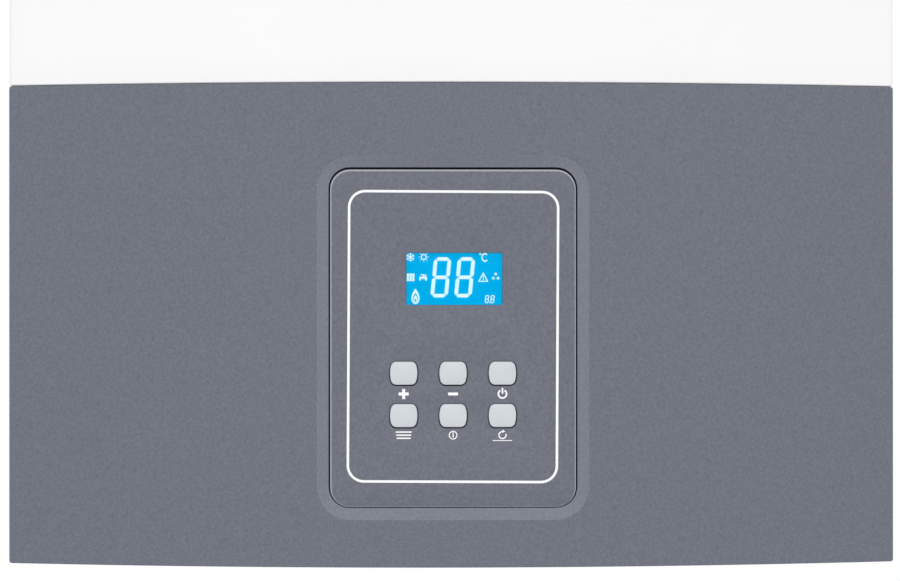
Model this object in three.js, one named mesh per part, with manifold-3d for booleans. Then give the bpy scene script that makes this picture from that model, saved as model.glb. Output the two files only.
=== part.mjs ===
// Wall-mounted gas boiler, 410 x 740 x 328 mm, in millimetres.
// X runs to the right, the front looks along -Y, Z is up.
// Everything is laid out from the bottom edge of the casing and the wall plane,
// and the whole boiler is then moved so that the origin is the centre of the
// back face of the wall bracket.
import * as THREE from 'three';
import { mergeVertices } from 'three/addons/utils/BufferGeometryUtils.js';
import Module from 'manifold-3d';

const wasm = await Module();
wasm.setup();

// Driving dimensions of the whole boiler
const casing = {
  width: 410,
  height: 740,
  depth: 328, // wall to the crown of the bowed front
  bow: 24, // how far the crown stands before the side edges
  gauge: 1.2, // painted steel sheet
  foldRadius: 3.5, // between the front and its side returns
  returnDepth: 24, // side returns of the cover, from the side edge back
  lip: 14, // inward lips and flanges of the air box
  frontFacets: 12,
};
const seat = 0.3; // clearance between pieces that touch
const overrun = 1; // how far a cut runs past the face that it opens
const gasketThickness = 3;

const panel = {
  height: 220.9, // grey lower fascia
  seam: 0.6, // gap between fascia and white cover
  wall: 2.5,
  flangeReach: 28, // top and bottom flanges, from the crown back
  hingeSetback: 16, // hinge axis behind the crown
  hingeHeight: 8, // and above the bottom edge
  returnGap: 1, // between its side returns and the side panels
  topCorner: 1.8,
  bottomCorner: 0.8,
};

const pod = {
  width: 113.2, // opening in the fascia
  height: 155,
  radius: 8.6,
  centreHeight: 104.5,
  band: 5.4, // sloped band round the opening
  bandRadius: 13,
  recess: 3, // flat face behind the crown of the fascia
  gap: 0.5,
  plate: 3,
  skirt: 10, // depth of its side walls
  wall: 2,
};

const half = casing.width / 2;
const crownY = -casing.depth;
const sideEdgeY = crownY + casing.bow;
const coverBackY = sideEdgeY + casing.returnDepth;
const chassisFrontY = coverBackY + gasketThickness + 2 * seat;
const innerHalf = half - casing.gauge - seat; // what fits between the side panels
const innerTop = casing.height - casing.gauge - seat; // underneath the cover's top
const podCentre = new THREE.Vector3(0, crownY + pod.recess, pod.centreHeight);

// Finishes, as colour, roughness and metalness
const finishes = {
  whitePaint: [0xf4f4f3, 0.35, 0],
  greyMoulding: [0x72767f, 0.55, 0],
  galvanised: [0x9fa4a8, 0.45, 0.8],
  keyRubber: [0xd2d7db, 0.5, 0],
  clearWindow: [0x1c9fe0, 0.08, 0],
  displayBlue: [0x00aff5, 0.3, 0],
  foam: [0x2c2d2f, 0.95, 0],
  circuitBoard: [0x1f6b3a, 0.5, 0],
  blackPlastic: [0x1e1f21, 0.5, 0],
  greyPlastic: [0x8c9196, 0.55, 0],
  insulation: [0xd9d3c4, 0.95, 0],
  stainless: [0xb9bcbf, 0.3, 1],
  copper: [0xb96f4a, 0.35, 1],
  brass: [0xb79a5a, 0.35, 1],
  castAluminium: [0xa9abad, 0.5, 0.9],
  redEnamel: [0xa81f1c, 0.4, 0],
  bluePlastic: [0x1f4fa8, 0.45, 0],
  redPlastic: [0xb3201d, 0.45, 0],
  ceramic: [0xeeebe2, 0.35, 0],
  glass: [0xbfd0d2, 0.05, 0],
  yellowTube: [0xc9a23a, 0.4, 0.8],
};

function finish(name) {
  const [color, roughness, metalness] = finishes[name];
  return new THREE.MeshStandardMaterial({ color, roughness, metalness });
}

// Closed geometry to a solid that can be joined and cut, and back again
const weld = 1e-4;

function toSolid(geometry) {
  const bare = new THREE.BufferGeometry();
  bare.setAttribute('position', geometry.getAttribute('position'));
  bare.setIndex(geometry.getIndex());
  const merged = mergeVertices(bare, weld);
  const places = merged.getAttribute('position');
  const corners = Uint32Array.from(merged.getIndex().array);
  if (signedVolume(places, corners) < 0) {
    for (let i = 0; i < corners.length; i += 3) {
      [corners[i + 1], corners[i + 2]] = [corners[i + 2], corners[i + 1]];
    }
  }
  const vertProperties = Float32Array.from(places.array);
  return new wasm.Manifold(new wasm.Mesh({ numProp: 3, vertProperties, triVerts: corners }));
}

function signedVolume(places, corners) {
  const [a, b, c] = [new THREE.Vector3(), new THREE.Vector3(), new THREE.Vector3()];
  let sum = 0;
  for (let i = 0; i < corners.length; i += 3) {
    a.fromBufferAttribute(places, corners[i]);
    b.fromBufferAttribute(places, corners[i + 1]);
    c.fromBufferAttribute(places, corners[i + 2]);
    sum += a.dot(b.cross(c));
  }
  return sum;
}

function toGeometry(solid) {
  const { vertProperties, triVerts } = solid.getMesh();
  const geometry = new THREE.BufferGeometry();
  geometry.setAttribute('position', new THREE.BufferAttribute(vertProperties, 3));
  geometry.setIndex(new THREE.BufferAttribute(triVerts, 1));
  geometry.computeVertexNormals();
  return geometry;
}

function join(...solids) {
  return solids.reduce((sum, solid) => sum.add(solid));
}

function cut(body, ...tools) {
  return tools.reduce((rest, tool) => rest.subtract(tool), body);
}

function piece(name, solid, finishName) {
  const mesh = new THREE.Mesh(toGeometry(solid), finish(finishName));
  mesh.name = name;
  return mesh;
}

function pair(low, high) {
  return [Math.min(low, high), Math.max(low, high)];
}

// Outlines. Each is drawn in the plane that the extrusion stands on:
// (x, y) for a prism along Z, (x, z) along Y, and (y, z) along X.
function rectangle(a0, a1, b0, b1) {
  return polygon([[a0, b0], [a1, b0], [a1, b1], [a0, b1]]);
}

function polygon(points) {
  return new THREE.Shape(points.map(([a, b]) => new THREE.Vector2(a, b)));
}

function disc(a, b, radius) {
  const shape = new THREE.Shape();
  shape.absarc(a, b, radius, 0, 2 * Math.PI, false);
  return shape;
}

function roundedRectangle(a, b, width, height, radius) {
  const [w, h] = [width / 2 - radius, height / 2 - radius];
  const shape = new THREE.Shape();
  shape.absarc(a + w, b - h, radius, -Math.PI / 2, 0, false);
  shape.absarc(a + w, b + h, radius, 0, Math.PI / 2, false);
  shape.absarc(a - w, b + h, radius, Math.PI / 2, Math.PI, false);
  shape.absarc(a - w, b - h, radius, Math.PI, 1.5 * Math.PI, false);
  return shape;
}

const bases = {
  x: [new THREE.Vector3(0, 1, 0), new THREE.Vector3(0, 0, 1), new THREE.Vector3(1, 0, 0)],
  y: [new THREE.Vector3(1, 0, 0), new THREE.Vector3(0, 0, 1), new THREE.Vector3(0, -1, 0)],
  z: [new THREE.Vector3(1, 0, 0), new THREE.Vector3(0, 1, 0), new THREE.Vector3(0, 0, 1)],
};

// A prism of an outline along one axis, from one place on it to another
function prism(axis, shape, from, to, arcSteps = 6) {
  const [low, high] = pair(from, to);
  const geometry = new THREE.ExtrudeGeometry(shape, {
    depth: high - low,
    bevelEnabled: false,
    curveSegments: arcSteps / 2, // an arc gets twice as many steps as this
  });
  const turn = new THREE.Matrix4().makeBasis(...bases[axis]);
  const start = bases[axis][2].clone().multiplyScalar(axis === 'y' ? -high : low);
  geometry.applyMatrix4(turn.setPosition(start));
  return toSolid(geometry);
}

function block(x0, x1, y0, y1, z0, z1) {
  const [[ax, bx], [ay, by], [az, bz]] = [pair(x0, x1), pair(y0, y1), pair(z0, z1)];
  const geometry = new THREE.BoxGeometry(bx - ax, by - ay, bz - az);
  geometry.translate((ax + bx) / 2, (ay + by) / 2, (az + bz) / 2);
  return toSolid(geometry);
}

// A turned piece: the profile gives [radius, place along the axis] pairs, and it starts
// and ends on the axis or closes on itself. The centre is where the axis crosses zero.
function turned(axis, centre, profile, sides) {
  const geometry = new THREE.LatheGeometry(profile.map(([r, s]) => new THREE.Vector2(r, s)), sides);
  if (axis === 'x') geometry.rotateZ(-Math.PI / 2);
  if (axis === 'z') geometry.rotateX(Math.PI / 2);
  geometry.translate(...centre);
  return toSolid(geometry);
}

function rod(axis, centre, radius, from, to, sides = 16) {
  return turned(axis, centre, [[0, from], [radius, from], [radius, to], [0, to]], sides);
}

function ring(axis, centre, outer, inner, from, to, sides = 24) {
  return turned(axis, centre, [[inner, from], [outer, from], [outer, to], [inner, to], [inner, from]], sides);
}

// A closed skin over rings of equally many points, each ring given as [x, y, z] triples
function loft(rings) {
  const count = rings[0].length;
  const corners = [];
  for (let r = 0; r + 1 < rings.length; r += 1) {
    for (let i = 0; i < count; i += 1) {
      const [a, b] = [r * count + i, r * count + ((i + 1) % count)];
      corners.push(a, b, b + count, a, b + count, a + count);
    }
  }
  const last = (rings.length - 1) * count;
  for (let i = 1; i + 1 < count; i += 1) {
    corners.push(0, i + 1, i, last, last + i, last + i + 1);
  }
  const geometry = new THREE.BufferGeometry();
  geometry.setAttribute('position', new THREE.Float32BufferAttribute(rings.flat(2), 3));
  geometry.setIndex(corners);
  return toSolid(geometry);
}

// A route of straight runs and round bends, with rings only where the pipe needs them
const bendSteps = 3;

class Route extends THREE.Curve {
  constructor(corners, bendRadius, bendSteps) {
    super();
    this.stations = [];
    const points = corners.map((corner) => new THREE.Vector3(...corner));
    points.forEach((point, i) => {
      if (i === 0 || i === points.length - 1) {
        const other = points[i === 0 ? 1 : i - 1];
        const along = i === 0 ? other.clone().sub(point) : point.clone().sub(other);
        this.stations.push([point, along.normalize()]);
        return;
      }
      const into = point.clone().sub(points[i - 1]).normalize();
      const outOf = points[i + 1].clone().sub(point).normalize();
      this.addBend(point, into, outOf, bendRadius, bendSteps);
    });
  }

  addBend(corner, into, outOf, radius, steps) {
    const angle = into.angleTo(outOf);
    const start = corner.clone().addScaledVector(into, -radius * Math.tan(angle / 2));
    const inward = outOf.clone().addScaledVector(into, -outOf.dot(into)).normalize();
    const centre = start.clone().addScaledVector(inward, radius);
    for (let i = 0; i <= steps; i += 1) {
      const turn = (angle * i) / steps;
      const spoke = inward.clone().multiplyScalar(-Math.cos(turn)).addScaledVector(into, Math.sin(turn));
      const tangent = into.clone().multiplyScalar(Math.cos(turn)).addScaledVector(inward, Math.sin(turn));
      this.stations.push([centre.clone().addScaledVector(spoke, radius), tangent]);
    }
  }

  station(t) {
    return this.stations[Math.round(t * (this.stations.length - 1))];
  }

  getPoint(t) {
    return this.station(t)[0].clone();
  }

  getPointAt(t) {
    return this.getPoint(t);
  }

  getTangent(t) {
    return this.station(t)[1].clone();
  }

  getTangentAt(t) {
    return this.getTangent(t);
  }
}

function pipe(corners, radius, bendRadius, sides = 8) {
  const route = new Route(corners, bendRadius, bendSteps);
  const geometry = new THREE.ExtrudeGeometry(disc(0, 0, radius), {
    steps: route.stations.length - 1,
    curveSegments: sides / 2,
    extrudePath: route,
  });
  return toSolid(geometry);
}

// Plan of the bowed front, set in from the outside by an inset and closed at backY
function bowY(x, inset = 0) {
  const share = x / (half - inset);
  return crownY + inset + casing.bow * share * share;
}

function bowedOutline(inset, backY) {
  const side = half - inset;
  const fold = Math.max(casing.foldRadius - inset, 0);
  const reach = side - fold;
  const shape = new THREE.Shape();
  shape.moveTo(side, backY);
  shape.lineTo(side, bowY(side, inset) + fold);
  if (fold > 0) shape.quadraticCurveTo(side, bowY(side, inset), reach, bowY(reach, inset));
  for (let i = 1; i <= casing.frontFacets; i += 1) {
    const x = reach * (1 - (2 * i) / casing.frontFacets);
    shape.lineTo(x, bowY(x, inset));
  }
  if (fold > 0) shape.quadraticCurveTo(-side, bowY(side, inset), -side, bowY(side, inset) + fold);
  shape.lineTo(-side, backY);
  return shape;
}

// Sheet-metal chassis
const bracket = {
  width: 300,
  height: 60,
  plate: 2,
  topBelowCasing: 40, // top edge of the bracket under the casing's top
  hookSpacing: 220,
  hookWidth: 30,
  hookThickness: 2,
  hookLip: 12,
  hookBelowTop: 8,
  screwHole: 4,
  screwSpacing: 40,
};
bracket.top = casing.height - bracket.topBelowCasing;
bracket.hookTop = bracket.top - bracket.hookBelowTop;
const mountPoint = new THREE.Vector3(0, 0, bracket.top - bracket.height / 2);

const frame = {
  wallGap: 12, // wall to the back plate
  gauge: 1.2,
  bottom: 4,
  slotHeight: 24,
  slotClear: 2, // sideways room for each hook
};
frame.back = -frame.wallGap;
frame.front = frame.back - frame.gauge;
frame.top = innerTop - casing.gauge - seat;
const seatedY = frame.front - seat; // where pieces sit on the back plate

function wallBracket() {
  const { width, height, plate, top, hookWidth, hookThickness, hookTop, hookLip } = bracket;
  let body = block(-width / 2, width / 2, 0, -plate, top - height, top);
  const lipY = frame.front - seat;
  for (const side of [-1, 1]) {
    const x = (side * bracket.hookSpacing) / 2;
    const arm = [x - hookWidth / 2, x + hookWidth / 2];
    const tongue = block(...arm, -plate / 2, lipY - hookThickness, hookTop - hookThickness, hookTop);
    const lip = block(...arm, lipY, lipY - hookThickness, hookTop - hookThickness / 2, hookTop + hookLip);
    const screw = [(side * bracket.screwSpacing) / 2, 0, top - height / 2];
    const hole = rod('y', screw, bracket.screwHole, -plate - overrun, overrun, 10);
    body = cut(join(body, tongue, lip), hole);
  }
  return piece('wall_bracket', body, 'galvanised');
}

function rearFrame() {
  const { back, front, bottom, slotHeight, slotClear } = frame;
  let plate = block(-innerHalf, innerHalf, back, front, bottom, frame.top);
  for (const side of [-1, 1]) {
    const x = (side * bracket.hookSpacing) / 2;
    const reach = bracket.hookWidth / 2 + slotClear;
    const slotTop = bracket.hookTop + seat;
    const slot = block(x - reach, x + reach, back + overrun, front - overrun, slotTop - slotHeight, slotTop);
    plate = cut(plate, slot);
  }
  return piece('rear_frame', plate, 'galvanised');
}

const sidePanel = {
  bottom: 3,
  wallGap: 2,
};
sidePanel.top = innerTop;

function sidePanelPiece(name, side) {
  const { bottom, wallGap, top } = sidePanel;
  const { gauge, lip } = casing;
  const outer = side * half;
  const inner = side * (half - gauge);
  const flangeEnd = side * (half - lip);
  const sheet = block(outer, inner, -wallGap, chassisFrontY, bottom, top);
  const flange = (y, low, high) => block(outer - (side * gauge) / 2, flangeEnd, y, y + gauge, low, high);
  const notch = (low, high) => {
    const [near, far] = [chassisFrontY - overrun, chassisFrontY + gauge + overrun];
    return block(flangeEnd - side * overrun, inner, near, far, low, high);
  };
  const front = cut(
    join(sheet, flange(chassisFrontY, bottom, top)),
    notch(floorPanel.z - seat, floorPanel.z + lip + seat),
    notch(top - lip - gauge - seat, top + overrun),
  );
  const rear = [
    flange(seatedY - gauge, bottom, floorPanel.z - seat),
    flange(seatedY - gauge, floorPanel.z + seat + gauge, top - gauge - 2 * seat),
  ];
  return piece(name, join(front, ...rear), 'whitePaint');
}

// Floor of the sealed air box, and the top panel that closes it
const floorPanel = {
  aboveFascia: 6,
  pipeClear: 1,
};
floorPanel.z = panel.height + floorPanel.aboveFascia;

function pipeHoles(z, ...pipes) {
  return pipes.map(([x, y, radius]) => {
    const grommet = radius + floorPanel.pipeClear;
    return rod('z', [x, y, 0], grommet, z - overrun, z + casing.gauge + overrun, 12);
  });
}

function airBoxFloor() {
  const { gauge, lip } = casing;
  const { z } = floorPanel;
  const sheet = block(-innerHalf, innerHalf, seatedY, chassisFrontY, z, z + gauge);
  const flange = block(-innerHalf, innerHalf, chassisFrontY, chassisFrontY + gauge, z, z + lip);
  const pipes = [flowRoute.floorPlace, returnRoute.floorPlace, gasRoute.floorPlace, vesselRoute.floorPlace];
  return piece('air_box_floor', cut(join(sheet, flange), ...pipeHoles(z, ...pipes)), 'galvanised');
}

function topPanel() {
  const { gauge, lip } = casing;
  const top = innerTop;
  const sheet = block(-innerHalf, innerHalf, -sidePanel.wallGap, chassisFrontY, top - gauge, top);
  const flange = block(-innerHalf, innerHalf, chassisFrontY, chassisFrontY + gauge, top - lip, top);
  const hole = rod('z', [0, flue.y, 0], flue.hole / 2, top - gauge - overrun, top + overrun, 28);
  return piece('top_panel', cut(join(sheet, flange), hole), 'whitePaint');
}

// Bottom panel, open for the pipe connections
const bottomPanel = {
  z: 12,
  flange: 10,
  holeClear: 1,
};
bottomPanel.frontY = chassisFrontY;

function bottomPanelPiece() {
  const { z, flange, frontY, holeClear } = bottomPanel;
  const { gauge, lip } = casing;
  const reach = half - lip - seat;
  const sheet = block(-reach, reach, seatedY, frontY, z, z + gauge);
  const rim = block(-reach, reach, frontY, frontY + gauge, z, z + flange);
  const wide = block(-innerHalf, innerHalf, seatedY - gauge - seat, frontY + gauge + seat, z, z + gauge);
  const passages = [...connections, [fillingTap.x, fillingTap.y, fillingTap.body]];
  const holes = passages.map(([x, y, radius]) => {
    return rod('z', [x, y, 0], radius + holeClear, z - overrun, z + gauge + overrun, 10);
  });
  return piece('bottom_panel', cut(join(sheet, rim, wide), ...holes), 'galvanised');
}

// White front cover: a bowed tray whose lip presses on the air box through a gasket
const cover = {
  bottom: panel.height + panel.seam,
};

function frontCover() {
  const { gauge, lip, height } = casing;
  const { bottom } = cover;
  const reach = half - lip;
  const shell = cut(
    prism('z', bowedOutline(0, coverBackY), bottom, height),
    prism('z', bowedOutline(gauge, coverBackY - gauge), bottom + gauge, height - gauge),
    block(-reach, reach, coverBackY + overrun, coverBackY - gauge - overrun, bottom + lip, height - lip),
  );
  return piece('front_cover', shell, 'whitePaint');
}

function coverGasket() {
  const { lip, height } = casing;
  const front = coverBackY + seat;
  const reach = half - casing.gauge;
  const outer = rectangle(-reach, reach, floorPanel.z + seat, height - casing.gauge - seat);
  const inside = half - lip;
  outer.holes.push(rectangle(-inside, inside, floorPanel.z + lip - seat, height - lip - seat));
  return piece('cover_gasket', prism('y', outer, front, front + gasketThickness), 'foam');
}

// Grey lower fascia, which tilts forward about its bottom edge
const hinge = new THREE.Vector3(0, crownY + panel.hingeSetback, panel.hingeHeight);
const fasciaBackY = chassisFrontY - panel.returnGap;
const flangeBackY = crownY + panel.flangeReach;
const ear = {
  x: 104, // outer face of each ear, from the middle
  thickness: 3,
  radius: 7.5,
  stud: 3, // radius of the hinge stud
  hole: 3.3,
  roundShare: 0.6, // of a half turn, round the ear's end
};
const boss = {
  radius: 4,
  x: 76,
  low: 45,
  high: 185,
};
const boxFrontY = flangeBackY; // front face of the control box

// Points of a rounded rectangle about the pod centre, as [x, z]. Its top and bottom edges
// have points between, so that they can follow the bow.
function podRing(width, height, radius, arcSteps = 4, edgeSteps = 4) {
  const [w, h] = [width / 2 - radius, height / 2 - radius];
  const ringPoints = [];
  [[w, -h], [w, h], [-w, h], [-w, -h]].forEach(([x, z], corner) => {
    for (let i = 0; i <= arcSteps; i += 1) {
      const angle = (Math.PI / 2) * (corner - 1 + i / arcSteps);
      ringPoints.push([x + radius * Math.cos(angle), podCentre.z + z + radius * Math.sin(angle)]);
    }
    if (corner % 2 === 0) return;
    const edgeZ = podCentre.z + z + radius * Math.sign(z);
    for (let i = 1; i < edgeSteps; i += 1) ringPoints.push([x * (1 - (2 * i) / edgeSteps), edgeZ]);
  });
  return ringPoints;
}

function podCutter() {
  const inner = podRing(pod.width, pod.height, pod.radius);
  const outer = podRing(pod.width + 2 * pod.band, pod.height + 2 * pod.band, pod.bandRadius);
  const front = outer.map(([x, z]) => [x, crownY - overrun, z]);
  const slope = outer.map(([x, z]) => [x, bowY(x), z]);
  const face = inner.map(([x, z]) => [x, podCentre.y, z]);
  const back = inner.map(([x, z]) => [x, podCentre.y + pod.skirt + overrun, z]);
  return loft([front, slope, face, back]);
}

function fasciaShell() {
  const { height, wall } = panel;
  const inside = half - wall;
  const shell = cut(
    prism('z', bowedOutline(0, fasciaBackY), 0, height),
    prism('z', bowedOutline(wall, fasciaBackY + overrun), wall, height - wall),
    block(-inside, inside, flangeBackY, fasciaBackY + overrun, -overrun, height + overrun),
  );
  const front = new THREE.Shape();
  const { topCorner, bottomCorner } = panel;
  front.absarc(half - bottomCorner, bottomCorner, bottomCorner, -Math.PI / 2, 0, false);
  front.absarc(half - topCorner, height - topCorner, topCorner, 0, Math.PI / 2, false);
  front.absarc(topCorner - half, height - topCorner, topCorner, Math.PI / 2, Math.PI, false);
  front.absarc(bottomCorner - half, bottomCorner, bottomCorner, Math.PI, 1.5 * Math.PI, false);
  return shell.intersect(prism('y', front, crownY - overrun, fasciaBackY + overrun, 3));
}

// What the returns lose so that they pass under the cover and off the chassis as they tilt
function swingRelief() {
  const radius = panel.height - hinge.z + panel.seam / 2;
  const [near, far] = [flangeBackY - hinge.y, fasciaBackY + overrun - hinge.y];
  const top = new THREE.Shape();
  top.moveTo(flangeBackY, panel.height + overrun);
  const from = Math.acos(near / radius);
  const to = Math.acos(far / radius);
  top.absarc(hinge.y, hinge.z, radius, from, to, true);
  top.lineTo(fasciaBackY + overrun, panel.height + overrun);
  const low = new THREE.Shape();
  low.moveTo(fasciaBackY + overrun, hinge.z);
  low.lineTo(fasciaBackY + overrun, -overrun);
  low.lineTo(fasciaBackY - hinge.z, -overrun);
  low.absarc(fasciaBackY - hinge.z, hinge.z, hinge.z, -Math.PI / 2, 0, false);
  const span = [-half - overrun, half + overrun];
  return [prism('x', top, ...span, 4), prism('x', low, ...span, 5)];
}

function lowerFascia() {
  const { wall } = panel;
  const rimWidth = pod.width + 2 * (pod.band + wall);
  const rimHeight = pod.height + 2 * (pod.band + wall);
  const rimBack = podCentre.y + pod.skirt;
  const rimOutline = roundedRectangle(podCentre.x, podCentre.z, rimWidth, rimHeight, pod.bandRadius + wall);
  const rim = prism('y', rimOutline, podCentre.y, rimBack, 4);
  let body = join(fasciaShell(), rim);
  for (const side of [-1, 1]) {
    const outer = side * ear.x;
    const inner = outer - side * ear.thickness;
    const shape = new THREE.Shape();
    const frontInside = bowY(outer) + wall / 2;
    shape.moveTo(frontInside, wall / 2);
    shape.lineTo(hinge.y + ear.radius, wall / 2);
    shape.absarc(hinge.y, hinge.z, ear.radius, 0, Math.PI * ear.roundShare, false);
    shape.lineTo(frontInside, hinge.z + ear.radius);
    body = join(body, prism('x', shape, inner, outer, 4));
    const [near, far] = [inner - side * overrun, outer + side * overrun];
    const studHole = rod('x', [0, hinge.y, hinge.z], ear.hole, near, far, 12);
    const slotEnd = inner - side * (hingeArm.thickness + 2 * hingeArm.gap);
    const slotFront = hinge.y - hingeArm.nose - overrun;
    const armSlot = block(inner, slotEnd, slotFront, flangeBackY + overrun, -overrun, wall + overrun);
    body = cut(body, studHole, armSlot);
    const bossFront = bowY(boss.x) + wall / 2;
    for (const z of [boss.low, boss.high]) {
      body = join(body, rod('y', [side * boss.x, 0, z], boss.radius, bossFront, boxFrontY - seat, 8));
    }
  }
  return piece('lower_fascia', cut(body, podCutter(), ...swingRelief()), 'greyMoulding');
}

// Arms of the chassis that carry the fascia on a stud each
const hingeArm = {
  gap: 1, // to the ear beside it
  thickness: 2,
  nose: 5, // radius of the arm round its stud
  length: 60, // reach behind the stud
  foot: 12,
};

function hingeArmPiece(name, side) {
  const { thickness, nose, length, foot } = hingeArm;
  const outer = side * (ear.x - ear.thickness - hingeArm.gap);
  const inner = outer - side * thickness;
  const top = bottomPanel.z - seat;
  const shape = new THREE.Shape();
  shape.moveTo(hinge.y, hinge.z - nose);
  shape.lineTo(hinge.y + length, hinge.z - nose);
  shape.lineTo(hinge.y + length, top);
  shape.lineTo(hinge.y + nose, top);
  shape.absarc(hinge.y, hinge.z, nose, Math.asin((top - hinge.z) / nose), 1.5 * Math.PI, false);
  const plate = prism('x', shape, inner, outer, 6);
  const footEnd = outer - side * foot;
  const footPlate = block(outer, footEnd, bottomPanel.frontY + seat, hinge.y + length, top - thickness, top);
  const stud = rod('x', [0, hinge.y, hinge.z], ear.stud, inner, side * (ear.x + hingeArm.gap), 12);
  return piece(name, join(plate, footPlate, stud), 'galvanised');
}

// Control pod: a flat moulding with the display and six keys
const display = {
  width: 43.7,
  height: 23.7,
  x: 0.6,
  z: 26.4, // above the pod centre
  thickness: 1.2,
  radius: 0.8,
  moduleRim: 2,
};
const key = {
  width: 13,
  height: 10.6,
  radius: 2.2,
  gap: 0.35,
  pitchX: 22.5,
  topRow: -16.5, // above the pod centre
  rowPitch: 19.3,
  proud: 0.8,
  crown: 0.5,
  brim: 1.2, // flange that keeps the key in the pod
  brimThickness: 1.2,
  travel: 0.8,
};
// Rubber mat with a nub under each key, and the board that it lies on
const keyMat = {
  thickness: 1.5,
  nub: 1.2,
  nubRadius: 2.5,
  nubFoot: 3.5, // its radius where it meets the mat
  nubRoot: 0.6, // how far it reaches into the mat
  border: 5,
};
const displayBoard = {
  thickness: 1.6,
  border: 0.8, // inside the pod's outer face
};
const boardFront = pod.skirt + seat;
const matFront = boardFront - seat - keyMat.thickness - keyMat.nub;
const keyBack = matFront - seat - key.travel;

const keyPlaces = [
  ['key_plus', -1, 0],
  ['key_minus', 0, 0],
  ['key_power', 1, 0],
  ['key_menu', -1, 1],
  ['key_info', 0, 1],
  ['key_reset', 1, 1],
];
const keyArcSteps = 3;

function keyOutline(x, z, grow) {
  return roundedRectangle(x, z, key.width + 2 * grow, key.height + 2 * grow, key.radius + grow);
}

function keyCentre(column, row) {
  return [column * key.pitchX, key.topRow - row * key.rowPitch];
}

function controlPod() {
  const { width, height, radius, gap, skirt, wall } = pod;
  const outer = roundedRectangle(0, 0, width - 2 * gap, height - 2 * gap, radius - gap);
  const inset = 2 * (gap + wall);
  const inner = roundedRectangle(0, 0, width - inset, height - inset, radius - gap - wall);
  let body = cut(prism('y', outer, 0, skirt, 4), prism('y', inner, pod.plate, skirt + overrun, 3));
  const [windowWidth, windowHeight] = [display.width + 2 * seat, display.height + 2 * seat];
  const window = roundedRectangle(display.x, display.z, windowWidth, windowHeight, display.radius);
  body = cut(body, prism('y', window, -overrun, pod.plate + overrun, 2));
  for (const [, column, row] of keyPlaces) {
    const opening = keyOutline(...keyCentre(column, row), key.gap);
    body = cut(body, prism('y', opening, -overrun, pod.plate + overrun, 2));
  }
  return piece('control_pod', body, 'greyMoulding');
}

// One key about its own centre on the pod's face: crowned cap, retaining brim and stem
function keyCap(name, column, row) {
  const capBack = pod.plate + seat + key.brimThickness / 2;
  const cap = prism('y', keyOutline(0, 0, 0), crownStart(), capBack, keyArcSteps);
  const crown = loft([0, 1].map((step) => {
    const inset = step === 0 ? 0 : -key.crown;
    const y = step === 0 ? crownStart() + key.crown / 4 : -key.proud;
    return keyOutline(0, 0, inset).getPoints(keyArcSteps / 2).map((p) => [p.x, y, p.y]);
  }));
  const brimBack = pod.plate + seat + key.brimThickness;
  const brimOutline = rectangle(...brimReach(key.width), ...brimReach(key.height));
  const brim = prism('y', brimOutline, pod.plate + seat, brimBack);
  const [stemX, stemZ] = [key.width / 4, key.height / 4];
  const stem = block(-stemX, stemX, brimBack - seat, keyBack, -stemZ, stemZ);
  const mesh = piece(name, join(cap, crown, brim, stem), 'keyRubber');
  const [x, z] = keyCentre(column, row);
  mesh.position.set(x, 0, z);
  return mesh;
}

function brimReach(size) {
  return [-size / 2 - key.brim, size / 2 + key.brim];
}

function crownStart() {
  return key.crown - key.proud;
}

function displayWindow() {
  const outline = roundedRectangle(display.x, display.z, display.width, display.height, display.radius);
  return piece('display_window', prism('y', outline, seat, seat + display.thickness, 2), 'clearWindow');
}

// Display module behind the window: a step that fills the opening, and a frame behind the plate
function displayModule() {
  const { width, height, x, z, moduleRim } = display;
  const face = 2 * seat + display.thickness;
  const front = pod.plate + seat;
  const back = boardFront - seat;
  const [w, h] = [width / 2 - seat, height / 2 - seat];
  const step = block(x - w, x + w, face, (front + back) / 2, z - h, z + h);
  const [fw, fh] = [w + moduleRim, h + moduleRim];
  const holder = block(x - fw, x + fw, front, back, z - fh, z + fh);
  return piece('display_module', join(step, holder), 'displayBlue');
}

function keyMatPiece() {
  const { thickness, nub, nubRadius, nubFoot, nubRoot, border } = keyMat;
  const reach = key.pitchX + key.width / 2 + border;
  const low = key.topRow - key.rowPitch - key.height / 2 - border;
  const high = key.topRow + key.height / 2 + border / 2;
  const matY = matFront + nub;
  const root = matY + nubRoot;
  let body = block(-reach, reach, matY, matY + thickness, low, high);
  for (const [, column, row] of keyPlaces) {
    const [x, z] = keyCentre(column, row);
    const nubProfile = [[0, matFront], [nubRadius, matFront], [nubFoot, root], [0, root]];
    body = join(body, turned('y', [x, 0, z], nubProfile, 8));
  }
  return piece('key_mat', body, 'blackPlastic');
}

function displayBoardPiece() {
  const { thickness, border } = displayBoard;
  const inset = 2 * (pod.gap + border);
  const outline = roundedRectangle(0, 0, pod.width - inset, pod.height - inset, pod.radius - border);
  return piece('display_board', prism('y', outline, boardFront, boardFront + thickness, 3), 'circuitBoard');
}

// Control box behind the pod: a tray open to the back, its lid and the main board
const box = {
  width: 170, // clear of the pump and the diverter on either side
  bottom: 25,
  top: 200,
  depth: 56,
  wall: 2.5,
  lid: 2.5,
  lidLip: 6,
  boardInset: 8,
  boardThickness: 1.6,
  standoff: 8,
  standoffRadius: 3.5,
};
const boxBackY = boxFrontY + box.depth;

function boxOutline(inset) {
  const { width, bottom, top } = box;
  return rectangle(-width / 2 + inset, width / 2 - inset, bottom + inset, top - inset);
}

function boardCorners() {
  const x = box.width / 2 - box.wall - 2 * box.boardInset;
  const low = box.bottom + box.wall + 2 * box.boardInset;
  const high = box.top - box.wall - 2 * box.boardInset;
  return [[-x, low], [x, low], [-x, high], [x, high]];
}

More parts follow.
